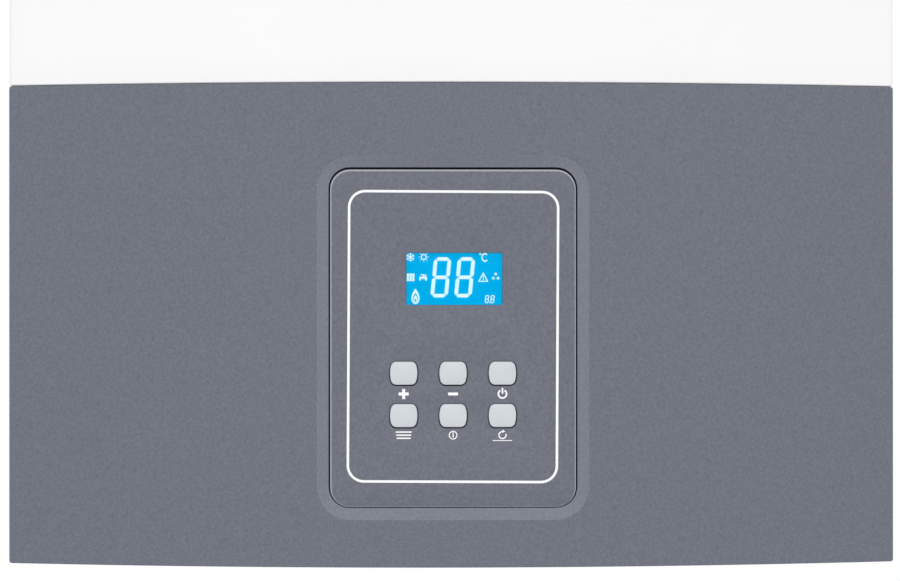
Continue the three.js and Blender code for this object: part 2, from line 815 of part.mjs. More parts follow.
function controlBox() {
  const { wall, standoff, standoffRadius } = box;
  const room = prism('y', boxOutline(wall), boxFrontY + wall, boxBackY + overrun);
  let body = cut(prism('y', boxOutline(0), boxFrontY, boxBackY), room);
  const [foot, head] = [boxFrontY + wall / 2, boxFrontY + wall + standoff];
  for (const [x, z] of boardCorners()) {
    body = join(body, rod('y', [x, 0, z], standoffRadius, foot, head, 8));
  }
  return piece('control_box', body, 'greyPlastic');
}

function controlBoxLid() {
  const { wall, lid, lidLip } = box;
  const plate = prism('y', boxOutline(0), boxBackY + seat, boxBackY + seat + lid);
  const lip = prism('y', boxOutline(wall + seat), boxBackY - lidLip, boxBackY + seat + lid / 2);
  const hollow = prism('y', boxOutline(2 * wall + seat), boxBackY - lidLip - overrun, boxBackY + seat);
  return piece('control_box_lid', join(plate, cut(lip, hollow)), 'greyPlastic');
}

// Main board with its transformer, relays and capacitors standing on it
const boardParts = {
  transformer: [38, 30, 24],
  relay: [19, 16, 16],
  relayPitch: 26,
  capacitorRadius: 7,
  capacitorHeight: 22,
  socket: [60, 10, 12],
};

function controlBoard() {
  const { width, bottom, top, wall, boardInset, standoff, boardThickness } = box;
  const front = boxFrontY + wall + standoff + seat;
  const back = front + boardThickness;
  const reach = width / 2 - wall - boardInset;
  const [low, high] = [bottom + wall + boardInset, top - wall - boardInset];
  const middle = (low + high) / 2;
  const { transformer, relay, relayPitch, capacitorRadius, capacitorHeight, socket } = boardParts;
  const root = back - boardThickness / 2;
  const part = ([w, h, tall], x, z) => {
    return block(x - w / 2, x + w / 2, root, back + tall, z - h / 2, z + h / 2);
  };
  const capacitorPlace = [reach - 2 * capacitorRadius, 0, middle];
  let body = join(
    block(-reach, reach, front, back, low, high),
    part(transformer, -reach + transformer[0], middle),
    part(socket, 0, low + socket[1]),
    rod('y', capacitorPlace, capacitorRadius, root, back + capacitorHeight, 12),
  );
  for (const step of [-1, 0, 1]) {
    body = join(body, part(relay, step * relayPitch + relay[0], high - relay[1]));
  }
  return piece('control_board', body, 'circuitBoard');
}

// Expansion vessel: two pressed shells with a rolled seam, on a stud at the back plate
const vessel = {
  radius: 155,
  depth: 80,
  belowTop: 200, // centre under the casing's top
  stud: 15,
  studLength: 3.5,
  seam: 4,
  seamProud: 3,
  nipple: 5.5,
  nippleBore: 3,
  nippleReach: 14,
  wall: 2.5,
};
vessel.z = casing.height - vessel.belowTop;
vessel.backY = seatedY - vessel.studLength;
vessel.seamY = vessel.backY - vessel.depth / 2;
vessel.frontY = vessel.backY - vessel.depth;
vessel.pipeTop = vessel.z - vessel.radius - vessel.seamProud - vessel.nippleReach - seat;

// Stack of burner, combustion chamber, heat exchanger, flue hood and fan, hung from the top
const stack = {
  sideRoom: 70, // from the casing's sides to the stack
  backRoom: 4.5, // from the vessel to the stack
  frontRoom: 56.5, // from the crown of the cover to the stack
  burnerHeight: 50,
  chamberHeight: 90,
  exchangerHeight: 80,
  hoodHeight: 150,
  topGap: 22, // under the top panel
};
stack.width = casing.width - 2 * stack.sideRoom;
stack.backY = vessel.frontY - stack.backRoom;
stack.frontY = crownY + stack.frontRoom;
stack.hoodTop = innerTop - casing.gauge - stack.topGap;
stack.hoodZ = stack.hoodTop - stack.hoodHeight;
stack.exchangerTop = stack.hoodZ - seat;
stack.exchangerZ = stack.exchangerTop - stack.exchangerHeight;
stack.chamberTop = stack.exchangerZ - seat;
stack.chamberZ = stack.chamberTop - stack.chamberHeight;
stack.burnerTop = stack.chamberZ - seat;
stack.burnerZ = stack.burnerTop - stack.burnerHeight;

function stackOutline(inset) {
  const x = stack.width / 2 - inset;
  return rectangle(-x, x, stack.frontY + inset, stack.backY - inset);
}

// Arms from the back plate that carry the stack on an inward ledge
const supportArm = {
  gauge: 1.5,
  ledge: 5,
  foot: 20,
  above: 25, // how far the arm stands above the chamber's foot
  below: 40,
};

function supportArmPiece(name, side) {
  const { gauge, ledge, foot, above, below } = supportArm;
  const inner = side * (stack.width / 2 + seat);
  const outer = inner + side * gauge;
  const [low, high] = [stack.chamberZ - below, stack.chamberZ + above];
  const web = block(inner, outer, seatedY, stack.frontY, low, high);
  const root = outer - (side * gauge) / 2;
  const footPlate = block(root, outer + side * foot, seatedY, seatedY - gauge, low, high);
  const [ledgeEnd, ledgeTop] = [inner - side * ledge, stack.burnerTop];
  const shelf = block(root, ledgeEnd, stack.backY, stack.frontY, ledgeTop - gauge, ledgeTop);
  return piece(name, join(web, footPlate, shelf), 'galvanised');
}

// Atmospheric burner: a row of slotted blades between a front and a rear rail
const burner = {
  wall: 1.5,
  blades: 8,
  bladeWidth: 16,
  bladeTopWidth: 8,
  bladeFootWidth: 9,
  bladeHeight: 40,
  slots: 4,
  slotWidth: 2,
  slotDepth: 4,
  mouth: 4.5,
  frontGap: 6,
  mouthAboveFoot: 14,
};
burner.halfWidth = stack.width / 2 - supportArm.ledge;
burner.frontY = stack.frontY + burner.frontGap;
burner.backY = stack.backY - burner.frontGap;
burner.pitch = (2 * burner.halfWidth) / burner.blades;
burner.mouthZ = stack.burnerZ + burner.mouthAboveFoot;

function bladeX(i) {
  return (i - (burner.blades - 1) / 2) * burner.pitch;
}

function burnerPiece() {
  const { wall, blades, bladeWidth, bladeTopWidth, bladeFootWidth, bladeHeight } = burner;
  const { slots, slotWidth, slotDepth, frontY, backY } = burner;
  const foot = stack.burnerZ;
  const deck = foot + bladeHeight;
  const railTop = stack.burnerTop;
  const reach = burner.halfWidth;
  const outer = rectangle(-reach, reach, frontY, backY);
  outer.holes.push(rectangle(wall - reach, reach - wall, frontY + wall, backY - wall));
  let body = prism('z', outer, foot, railTop);
  for (let i = 0; i < blades; i += 1) {
    const x = bladeX(i);
    const profile = polygon([
      [x - bladeFootWidth / 2, foot],
      [x + bladeFootWidth / 2, foot],
      [x + bladeWidth / 2, foot + bladeHeight / 4],
      [x + bladeWidth / 2, deck - bladeHeight / 4],
      [x + bladeTopWidth / 2, deck],
      [x - bladeTopWidth / 2, deck],
      [x - bladeWidth / 2, deck - bladeHeight / 4],
      [x - bladeWidth / 2, foot + bladeHeight / 4],
    ]);
    const mouth = rod('y', [x, 0, burner.mouthZ], burner.mouth, frontY - overrun, frontY + bladeWidth, 8);
    body = cut(join(body, prism('y', profile, frontY + wall / 2, backY - wall / 2)), mouth);
  }
  const slotPitch = (backY - frontY) / (slots + 1);
  for (let i = 1; i <= slots; i += 1) {
    const y = frontY + i * slotPitch;
    const inside = reach - wall - overrun;
    const [near, far] = [y - slotWidth / 2, y + slotWidth / 2];
    body = cut(body, block(-inside, inside, near, far, deck - slotDepth, deck + overrun));
  }
  return piece('burner', body, 'stainless');
}

// Gas manifold in front of the burner, with one injector for each blade
const manifold = {
  size: 16,
  gap: 12, // between the manifold and the burner's front rail
  injector: 3.2,
  injectorGap: 2,
  endReach: 4,
  lugThickness: 2,
};
manifold.backY = burner.frontY - manifold.gap;
manifold.y = manifold.backY - manifold.size / 2;

function gasManifold() {
  const { size, injector, injectorGap, endReach, lugThickness, y, backY } = manifold;
  const z = burner.mouthZ;
  const reach = bladeX(burner.blades - 1) + size / 2 + endReach;
  let body = block(-reach, reach, y - size / 2, y + size / 2, z - size / 2, z + size / 2);
  for (let i = 0; i < burner.blades; i += 1) {
    body = join(body, rod('y', [bladeX(i), 0, z], injector, backY - overrun, burner.frontY - injectorGap, 6));
  }
  for (const side of [-1, 1]) {
    const x = side * reach;
    const lugEnd = x - side * lugThickness;
    body = join(body, block(x, lugEnd, backY - overrun, burner.frontY - seat, z - size / 2, z + size / 2));
  }
  return piece('gas_manifold', body, 'castAluminium');
}

// Combustion chamber of insulation board, with its sight glass and a pair of electrodes
const chamber = {
  wall: 12,
  glassRadius: 11,
  glassRim: 4,
  glassRimThickness: 3,
  glassX: 62,
  glassHeight: 34,
  electrodeSpacing: 44,
  electrodeHeight: 22,
  electrodeRadius: 3.5,
  electrodeCollar: 6,
  collarLength: 8,
  electrodeReach: 38, // inside the chamber
  wireRadius: 1.2,
  ceramicReach: 10,
  electrodePlate: 2,
};

const electrodeSides = 6;
const glassSides = 14;

function combustionChamber() {
  const { wall, glassRadius, glassX, glassHeight, electrodeRadius } = chamber;
  const outer = stackOutline(0);
  outer.holes.push(stackOutline(wall));
  const [near, far] = [stack.frontY - overrun, stack.frontY + wall + overrun];
  const glassPlace = [glassX, 0, stack.chamberZ + glassHeight];
  const sight = rod('y', glassPlace, glassRadius + seat, near, far, glassSides);
  const holes = [-1, 1].map((side) => {
    return rod('y', electrodeCentre(side), electrodeRadius + seat, near, far, electrodeSides);
  });
  const walls = prism('z', outer, stack.chamberZ, stack.chamberTop);
  return piece('combustion_chamber', cut(walls, sight, ...holes), 'insulation');
}

function sightGlass() {
  const { glassRadius, glassRim, glassRimThickness, glassX, glassHeight, wall } = chamber;
  const face = stack.frontY - seat;
  const profile = [
    [0, face - glassRimThickness / 2],
    [glassRadius, face - glassRimThickness],
    [glassRadius + glassRim, face - glassRimThickness],
    [glassRadius + glassRim, face],
    [glassRadius, face],
    [glassRadius, face + wall / 2],
    [0, face + wall / 2],
  ];
  const place = [glassX, 0, stack.chamberZ + glassHeight];
  return piece('sight_glass', turned('y', place, profile, glassSides), 'glass');
}

function electrodeCentre(side) {
  return [(side * chamber.electrodeSpacing) / 2, 0, stack.chamberZ + chamber.electrodeHeight];
}

// Ignition and flame-sensing electrodes on one mounting plate
function electrodePair() {
  const { electrodeRadius, electrodeCollar, collarLength, electrodeReach } = chamber;
  const { wireRadius, wall, ceramicReach, electrodePlate } = chamber;
  const face = stack.frontY - seat;
  const profile = [
    [0, face - 2 * collarLength],
    [wireRadius, face - 2 * collarLength],
    [wireRadius, face - 1.5 * collarLength],
    [electrodeRadius, face - 1.5 * collarLength],
    [electrodeRadius, face - collarLength],
    [electrodeCollar, face - collarLength],
    [electrodeCollar, face],
    [electrodeRadius, face],
    [electrodeRadius, face + wall + ceramicReach],
    [wireRadius, face + wall + ceramicReach],
    [wireRadius, face + wall + electrodeReach],
    [0, face + wall + electrodeReach],
  ];
  const [x, , z] = electrodeCentre(1);
  const plate = block(-x, x, face, face - electrodePlate, z - electrodeRadius, z + electrodeRadius);
  const rods = [-1, 1].map((side) => turned('y', electrodeCentre(side), profile, electrodeSides));
  return piece('electrode_pair', join(plate, ...rods), 'ceramic');
}

// Finned water tube in its copper jacket: one tube goes to and fro through all the fins
const exchanger = {
  wall: 1.2,
  fins: 10,
  finThickness: 0.8,
  finGap: 7, // between the fins and the top and bottom of the jacket
  tubeRadius: 8,
  tubeSides: 8,
  tubeInset: 30, // outer rows of the tube from the front and back
  bendRoom: 12, // bends stand this far off the jacket
  bendSlack: 0.55, // straight run in the middle of each return bend
  portReach: 26,
};
exchanger.z = (stack.exchangerZ + stack.exchangerTop) / 2;
exchanger.rearY = stack.backY - exchanger.tubeInset;
exchanger.frontY = stack.frontY + exchanger.tubeInset;
exchanger.middleY = (exchanger.rearY + exchanger.frontY) / 2;
exchanger.portX = stack.width / 2 + exchanger.portReach;

function exchangerJacket() {
  const outer = stackOutline(0);
  outer.holes.push(stackOutline(exchanger.wall));
  const reach = stack.width / 2 + overrun;
  const { rearY, middleY, frontY, z, tubeRadius, tubeSides } = exchanger;
  const clear = (tubeRadius + seat) / Math.cos(Math.PI / tubeSides); // the flats clear the tube too
  const holes = [rearY, middleY, frontY].map((y) => rod('x', [0, y, z], clear, -reach, reach, tubeSides));
  const walls = prism('z', outer, stack.exchangerZ, stack.exchangerTop);
  return piece('exchanger_jacket', cut(walls, ...holes), 'copper');
}

function heatExchanger() {
  const { wall, fins, finThickness, finGap, bendRoom, bendSlack, portX } = exchanger;
  const { tubeRadius, rearY, middleY, frontY, z } = exchanger;
  const bendRadius = (rearY - middleY) / 2 - bendSlack;
  const turn = stack.width / 2 + bendRoom + bendRadius / 2;
  const corners = [
    [portX, rearY, z],
    [-turn, rearY, z],
    [-turn, middleY, z],
    [turn, middleY, z],
    [turn, frontY, z],
    [-portX, frontY, z],
  ];
  const tube = pipe(corners, tubeRadius, bendRadius, exchanger.tubeSides);
  const reach = stack.width / 2 - wall - seat - finThickness;
  const [near, far] = [stack.frontY + wall + seat, stack.backY - wall - seat];
  const [low, high] = [stack.exchangerZ + finGap, stack.exchangerTop - finGap];
  let body = tube;
  for (let i = 0; i < fins; i += 1) {
    const x = reach * ((2 * i) / (fins - 1) - 1);
    body = join(body, block(x - finThickness / 2, x + finThickness / 2, near, far, low, high));
  }
  return piece('heat_exchanger', body, 'copper');
}

// Flue hood: gathers the gases and turns them forward into the fan's eye
const hood = {
  wall: 1.2,
  slope: 16,
  plenumWidth: 160,
};

const fan = {
  x: -43,
  belowTop: 74, // axis under the top of the hood
  depth: 50,
  wall: 1.5,
  scrollStart: 40, // scroll radius at the tongue
  scrollEnd: 66, // and where it runs into the outlet
  tongueAngle: Math.PI / 3,
  eye: 27,
  shaftHole: 8,
  rotorRadius: 36,
  bladeInner: 24,
  blades: 14,
  bladeThickness: 0.9,
  bladeLean: 0.22, // radians
  runningGap: 3,
  rotorPlate: 1.5, // front disc and rear ring of the impeller
  hub: 7,
  shaft: 2.5,
  shaftReach: 16,
  motorRadius: 35,
  motorDepth: 38,
  motorBoss: 14,
};
hood.frontY = (stack.backY + stack.frontY + fan.depth) / 2; // the fan stands over the stack's middle
fan.z = stack.hoodTop - fan.belowTop;
fan.backY = hood.frontY - seat;
fan.frontY = fan.backY - fan.depth;
fan.tongueX = fan.scrollStart * Math.cos(fan.tongueAngle);
fan.outletX = fan.x + (fan.tongueX + fan.scrollEnd) / 2;

function hoodRings(inset, bottom, top) {
  const bigX = stack.width / 2 - inset;
  const smallX = hood.plenumWidth / 2 - inset;
  const rear = stack.backY - inset;
  const shoulder = stack.hoodZ + hood.slope;
  const ringAt = (x, front, z) => [[-x, front, z], [x, front, z], [x, rear, z], [-x, rear, z]];
  return [
    ringAt(bigX, stack.frontY + inset, bottom),
    ringAt(bigX, stack.frontY + inset, stack.hoodZ - inset), // keeps the shallow slope closed
    ringAt(smallX, hood.frontY + inset, shoulder - inset),
    ringAt(smallX, hood.frontY + inset, top),
  ];
}

function flueHood() {
  const { wall } = hood;
  const outer = loft(hoodRings(0, stack.hoodZ, stack.hoodTop).filter((_, i) => i !== 1));
  const inner = loft(hoodRings(wall, stack.hoodZ - wall - overrun, stack.hoodTop - wall));
  const [near, far] = [hood.frontY - overrun, hood.frontY + wall + overrun];
  const eye = rod('y', [fan.x, 0, fan.z], fan.eye + overrun, near, far, 20);
  return piece('flue_hood', cut(outer, inner, eye), 'stainless');
}

// Scroll of the fan about its own axis, set in by an inset, open or closed at the outlet
function scrollOutline(inset, top) {
  const { scrollStart, scrollEnd, tongueAngle, tongueX } = fan;
  const steps = 18;
  const sweep = 2 * Math.PI - tongueAngle;
  const points = [[scrollEnd - inset, top]];
  for (let i = 0; i <= steps; i += 1) {
    const share = i / steps;
    const radius = scrollEnd + (scrollStart - scrollEnd) * share - inset;
    points.push([radius * Math.cos(sweep * share), -radius * Math.sin(sweep * share)]);
  }
  const tongueZ = (scrollStart - inset) * Math.sin(tongueAngle);
  points.push([tongueX + inset, tongueZ + 2 * inset], [tongueX + inset, top]);
  return polygon(points);
}

function fanHousing() {
  const { depth, wall, belowTop, eye, shaftHole } = fan;
  const body = cut(
    prism('y', scrollOutline(0, belowTop), -depth, 0),
    prism('y', scrollOutline(wall, belowTop + overrun), wall - depth, -wall),
    rod('y', [0, 0, 0], eye, -wall - overrun, overrun, 20),
    rod('y', [0, 0, 0], shaftHole, -depth - overrun, wall - depth + overrun, 12),
  );
  return piece('fan_housing', body, 'castAluminium');
}

function fanImpeller() {
  const { depth, wall, rotorRadius, bladeInner, blades, bladeThickness, bladeLean } = fan;
  const { runningGap, rotorPlate, hub, shaft, shaftReach } = fan;
  const back = -wall - runningGap;
  const front = wall + runningGap - depth;
  const axis = [0, 0, 0];
  let body = join(
    rod('y', axis, rotorRadius, front, front + rotorPlate, 18),
    ring('y', axis, rotorRadius, bladeInner, back - rotorPlate, back, 18),
    rod('y', axis, hub, front, front + 4 * rotorPlate, 12),
    rod('y', axis, shaft, front + rotorPlate, -depth - shaftReach, 8),
  );
  for (let i = 0; i < blades; i += 1) {
    const angle = (2 * Math.PI * i) / blades;
    const outerReach = rotorRadius - bladeThickness;
    const inner = new THREE.Vector2(bladeInner, 0).rotateAround(new THREE.Vector2(), angle);
    const outer = new THREE.Vector2(outerReach, 0).rotateAround(new THREE.Vector2(), angle + bladeLean);
    const across = new THREE.Vector2(0, bladeThickness).rotateAround(new THREE.Vector2(), angle);
    const blade = new THREE.Shape([inner, outer, outer.clone().add(across), inner.clone().add(across)]);
    body = join(body, prism('y', blade, front + rotorPlate / 2, back - rotorPlate / 2));
  }
  return piece('fan_impeller', body, 'castAluminium');
}

function fanMotor() {
  const { depth, motorRadius, motorDepth, motorBoss, shaft, shaftReach } = fan;
  const face = -depth - seat;
  const profile = [
    [0, face - shaftReach - overrun],
    [shaft + seat, face - shaftReach - overrun],
    [shaft + seat, face],
    [motorRadius, face],
    [motorRadius, face - motorDepth * 0.7],
    [motorRadius * 0.86, face - motorDepth * 0.85],
    [motorBoss, face - motorDepth * 0.85],
    [motorBoss, face - motorDepth],
    [0, face - motorDepth],
  ];
  return piece('fan_motor', turned('y', [0, 0, 0], profile, 16), 'blackPlastic');
}

// Coaxial flue outlet: gases leave through the inner tube, air enters round it
const flue = {
  hole: 98,
  socket: 100,
  wall: 1.5,
  flange: 13,
  rise: 36,
  innerRadius: 30,
  innerFlange: 7,
  innerRise: 8, // above the outer socket
};
flue.y = (fan.backY + fan.frontY) / 2;

function flueCollar() {
  const { socket, wall, flange, rise } = flue;
  const [inner, outer, low] = [socket / 2 - wall, socket / 2, innerTop + seat];
  const profile = [
    [inner, low],
    [outer + flange, low],
    [outer + flange, low + wall],
    [outer, low + wall],
    [outer, low + rise],
    [inner, low + rise],
    [inner, low],
  ];
  return piece('flue_collar', turned('z', [fan.outletX, flue.y, 0], profile, 24), 'castAluminium');
}

function flueInnerTube() {
  const { innerRadius, innerFlange, wall, rise, innerRise } = flue;
  const [low, high] = [stack.hoodTop + seat, innerTop + seat + rise + innerRise];
  const profile = [
    [innerRadius - wall, low],
    [innerRadius + innerFlange, low],
    [innerRadius + innerFlange, low + wall],
    [innerRadius, low + wall],
    [innerRadius, high],
    [innerRadius - wall, high],
    [innerRadius - wall, low],
  ];
  return piece('flue_inner_tube', turned('z', [fan.outletX, flue.y, 0], profile, 20), 'castAluminium');
}

// Air pressure switch on the side of the hood
const pressureSwitch = {
  radius: 27,
  depth: 24,
  rim: 3,
  nipple: 3,
  nippleReach: 12,
  belowTop: 42,
};

function airPressureSwitch() {
  const { radius, depth, rim, nipple, nippleReach, belowTop } = pressureSwitch;
  const start = hood.plenumWidth / 2 + seat;
  const y = (stack.backY + hood.frontY) / 2;
  const z = stack.hoodTop - belowTop;
  const profile = [
    [0, start],
    [radius * 0.8, start],
    [radius * 0.8, start + depth / 2 - rim],
    [radius, start + depth / 2 - rim],
    [radius, start + depth / 2 + rim],
    [radius * 0.85, start + depth * 0.8],
    [radius * 0.3, start + depth],
    [0, start + depth],
  ];
  const drum = turned('x', [0, y, z], profile, 16);
  const spout = rod('x', [0, y - radius / 2, z], nipple, start + depth / 2, start + depth + nippleReach, 8);
  return piece('air_pressure_switch', join(drum, spout), 'blackPlastic');
}

// Half the vessel's section, as shares of its radius and of half its depth
const vesselShares = [[0, 1], [0.62, 0.98], [0.84, 0.86], [0.96, 0.58], [1, 0.25]];

function expansionVessel() {
  const { radius, depth, stud, seam, seamProud, nipple, nippleReach, z, backY, seamY } = vessel;
  const at = (side) => vesselShares.map(([r, s]) => [r * radius, seamY + (side * s * depth) / 2]);
  const rear = at(1).slice(1);
  const front = at(-1).reverse();
  const profile = [
    [0, seatedY],
    [stud, seatedY],
    [stud, backY],
    ...rear,
    [radius, seamY + seam],
    [radius + seamProud, seamY + seam / 2],
    [radius + seamProud, seamY - seam / 2],
    [radius, seamY - seam],
    ...front,
  ];
  const body = turned('y', [0, 0, z], profile, 24);
  const spout = rod('z', [0, seamY, 0], nipple, vessel.pipeTop + seat, z - radius + 2 * seam, 8);
  const roomShare = 1 - (2 * vessel.wall) / depth;
  const room = [1, -1].map((side) => vesselShares.slice(0, -1).map(([r, s]) => [
    r * radius * roomShare,
    seamY + (side * s * roomShare * depth) / 2,
  ]));
  const hollow = turned('y', [0, 0, z], [...room[0], ...room[1].reverse()], 12);
  const bore = rod('z', [0, seamY, 0], vessel.nippleBore, vessel.pipeTop, z, 6);
  return piece('expansion_vessel', cut(join(body, spout), hollow, bore), 'redEnamel');
}

// Water and gas connections through the bottom panel
const hydro = {
  y: -96, // the row of water connections
  flowX: 130, // heating flow and return, either side of the middle
  tapX: 65, // hot and cold water
  barrel: 20,
  stub: 11,
  bore: 8.5,
  boreDepth: 30,
  stubBottom: -14,
  hex: 15,
  hexHeight: 8,
  armDepth: 28,
  armLow: 30,
  armHeight: 30,
  upperArm: 84,
  upperArmHeight: 20,
  upperArmEnd: 62,
  armEnd: 49.6, // the lower arms reach further in, past the tap connections
};
hydro.hexZ = bottomPanel.z + casing.gauge + seat;

function connection(x, y, top) {
  const { stub, hex, hexHeight, stubBottom, hexZ } = hydro;
  return join(
    rod('z', [x, y, 0], stub, stubBottom, top, 10),
    rod('z', [x, y, 0], hex, hexZ, hexZ + hexHeight, 6),
  );
}

function connectionBore(x, y) {
  const { bore, boreDepth, stubBottom } = hydro;
  return rod('z', [x, y, 0], bore, stubBottom - overrun, stubBottom + boreDepth, 10);
}

// Plate heat exchanger for hot water, lying behind the two hydraulic blocks
const plates = {
  halfWidth: 96,
  backY: -30,
  depth: 42,
  low: 28,
  height: 80,
  count: 5,
  step: 1.6, // how far every other plate edge stands back
  radius: 10,
  portX: 80,
  portLow: 45,
  portHigh: 93,
  port: 9,
  portLength: 6,
};
plates.frontY = plates.backY - plates.depth;
plates.portY = plates.frontY - plates.portLength;

function plateExchanger() {
  const { halfWidth, backY, depth, low, height, count, step, radius } = plates;
  const { portX, portLow, portHigh, port, frontY, portY } = plates;
  const pitch = depth / count;
  const plateOutline = (inset) => {
    const [width, tall] = [2 * (halfWidth - inset), height - 2 * inset];
    return roundedRectangle(0, low + height / 2, width, tall, radius - inset);
  };
  let body = prism('y', plateOutline(step), frontY, backY, 2);
  for (let i = 0; i < count; i += 2) {
    body = join(body, prism('y', plateOutline(0), backY - i * pitch, backY - (i + 1) * pitch, 2));
  }
  for (const x of [-portX, portX]) {
    for (const z of [portLow, portHigh]) {
      body = join(body, rod('y', [x, 0, z], port, frontY + overrun, portY, 10));
    }
  }
  return piece('plate_exchanger', body, 'stainless');
}

// The part of a hydraulic block that both sides have: barrel, two arms and two connections
function hydraulicBody(side, barrelTop) {
  const { y, flowX, tapX, barrel, armDepth, armLow, armHeight, armEnd } = hydro;
  const x = side * flowX;
  const armBack = plates.portY - seat;
  const armFront = armBack - armDepth;
  const body = join(
    rod('z', [x, y, 0], barrel, armLow, barrelTop, 14),
    block(x, side * armEnd, armBack, armFront, armLow, armLow + armHeight),
    connection(x, y, armLow + overrun),
    connection(side * tapX, y, armLow + overrun),
  );
  return cut(body, connectionBore(x, y), connectionBore(side * tapX, y));
}

const diverter = {
  top: 150,
  actuatorRadius: 19,
  actuatorLength: 46,
  actuatorZ: 118,
  neck: 12,
  neckLength: 10,
  sensor: 7,
  sensorLength: 26,
};

function flowBlock() {
  const { y, flowX, upperArm, upperArmHeight, upperArmEnd, barrel } = hydro;
  const { top, neck, neckLength, actuatorZ } = diverter;
  const armBack = plates.portY - seat;
  const armFront = armBack - hydro.armDepth;
  const body = join(
    hydraulicBody(-1, top),
    block(-flowX, -upperArmEnd, armBack, armFront, upperArm, upperArm + upperArmHeight),
    rod('y', [-flowX, 0, actuatorZ], neck, y, y - barrel - neckLength, 12),
  );
  return piece('flow_block', body, 'brass');
}

function diverterActuator() {
  const { actuatorRadius, actuatorLength, actuatorZ, neckLength, neck } = diverter;
  const start = hydro.y - hydro.barrel - neckLength - seat;
  const profile = [
    [0, start],
    [neck, start],
    [actuatorRadius, start - neckLength / 2],
    [actuatorRadius, start - actuatorLength * 0.8],
    [actuatorRadius * 0.7, start - actuatorLength],
    [0, start - actuatorLength],
  ];
  return piece('diverter_actuator', turned('y', [-hydro.flowX, 0, actuatorZ], profile, 16), 'blackPlastic');
}

function pressureSensor() {
  const { sensor, sensorLength } = diverter;
  const start = plates.portY - seat - hydro.armDepth - seat;
  const profile = [
    [0, start],
    [sensor, start],
    [sensor, start - sensorLength * 0.6],
    [sensor * 0.7, start - sensorLength * 0.6],
    [sensor * 0.7, start - sensorLength],
    [0, start - sensorLength],
  ];
  const z = hydro.armLow + hydro.armHeight / 2;
  return piece('pressure_sensor', turned('y', [-hydro.tapX - sensor, 0, z], profile, 8), 'blackPlastic');
}

// Return block on the right, with the safety valve, the filling tap and the pump above it
const fillingTap = {
  x: 98,
  forward: 12, // of the arm's front face
  body: 8,
  spindle: 3,
  knob: 13,
  knobHeight: 14,
  knobGap: 3, // under the bottom panel
  flutes: 10,
};
fillingTap.y = plates.portY - seat - hydro.armDepth - fillingTap.forward;

const safetyValve = {
  x: 72,
  radius: 11,
  neck: 8.8,
  length: 30,
  spout: 6,
  spoutDrop: 5, // how far the drain spout shows under the body
  stem: 4,
  stemLength: 4,
  knob: 14,
  knobLength: 16,
  lobes: 8,
};
safetyValve.z = hydro.armLow + hydro.armHeight / 2;
safetyValve.backY = plates.portY - 2 * seat - hydro.armDepth;
safetyValve.frontY = safetyValve.backY - safetyValve.length;

const pump = {
  z: 116,
  volute: 36,
  voluteDepth: 44,
  neck: 14,
  inletZ: 75,
  outletZ: 160,
  motorRadius: 41,
  motorDepth: 74,
  ribs: 8,
  ribHeight: 2.5,
  plug: 9,
};
pump.backY = hydro.y + pump.voluteDepth / 2;
pump.frontY = pump.backY - pump.voluteDepth;

function returnBlock() {
  const { armLow, armDepth, tapX, upperArm, upperArmHeight } = hydro;
  const { x, y, body: tapRadius, spindle } = fillingTap;
  const armBack = plates.portY - seat;
  const armFront = armBack - armDepth;
  const tapTop = armLow + 2 * tapRadius;
  const [webStart, webEnd, webTop] = [tapX, tapX + 2 * tapRadius, upperArm + upperArmHeight];
  const [vesselX, vesselY] = vesselRoute.floorPlace;
  const body = join(
    hydraulicBody(1, pump.inletZ),
    block(webStart, webEnd, armBack, armFront + tapRadius, armLow, webTop),
    block(x - tapRadius, x + tapRadius, armFront + overrun, y, armLow, tapTop),
    rod('z', [x, y, 0], tapRadius, bottomPanel.z - overrun, tapTop, 12),
    rod('z', [vesselX, vesselY, 0], vessel.nipple, upperArm, vesselRoute.foot - seat, 10),
  );
  const spindleHole = rod('z', [x, y, 0], spindle + seat, -overrun, armLow + tapRadius, 10);
  return piece('return_block', cut(body, spindleHole), 'brass');
}

function fillingTapKnob() {
  const { body, spindle, knob, knobHeight, knobGap, flutes } = fillingTap;
  const top = bottomPanel.z - knobGap - seat;
  const grip = prism('z', fluted(knob, flutes), top - knobHeight, top);
  const stem = rod('z', [0, 0, 0], spindle, top - overrun, hydro.armLow + body - 2 * seat, 10);
  const mesh = piece('filling_tap_knob', join(grip, stem), 'bluePlastic');
  mesh.position.set(fillingTap.x, fillingTap.y, 0);
  return mesh;
}

// A knob's outline with shallow scallops all round
const scallopShare = 0.05; // depth of the scallops either way, of the knob's radius

function fluted(radius, flutes) {
  const steps = flutes * 3;
  const points = [];
  for (let i = 0; i < steps; i += 1) {
    const angle = (2 * Math.PI * i) / steps;
    const r = radius * (1 - scallopShare + scallopShare * Math.cos(flutes * angle));
    points.push([r * Math.cos(angle), r * Math.sin(angle)]);
  }
  return polygon(points);
}

function safetyValvePiece() {
  const { x, radius, neck, length, spout, spoutDrop, z, backY, frontY, stem, stemLength } = safetyValve;
  const shoulder = backY - length / 4;
  const profile = [
    [0, backY],
    [neck, backY],
    [neck, shoulder],
    [radius, shoulder],
    [radius, frontY],
    [0, frontY],
  ];
  const body = join(
    turned('y', [x, 0, z], profile, 14),
    rod('z', [x, backY - length / 2, 0], spout, z - radius - spoutDrop, z, 10),
  );
  const hole = rod('y', [x, 0, z], stem + seat, frontY - overrun, frontY + stemLength, 10);
  return piece('safety_valve', cut(body, hole), 'brass');
}

function safetyValveKnob() {
  const { x, z, frontY, stem, stemLength, knob, knobLength, lobes } = safetyValve;
  const cap = prism('y', fluted(knob, lobes), -seat, -seat - knobLength);
  const pin = rod('y', [0, 0, 0], stem, -seat - overrun, stemLength - seat, 10);
  const mesh = piece('safety_valve_knob', join(cap, pin), 'redPlastic');
  mesh.position.set(x, frontY, z);
  return mesh;
}

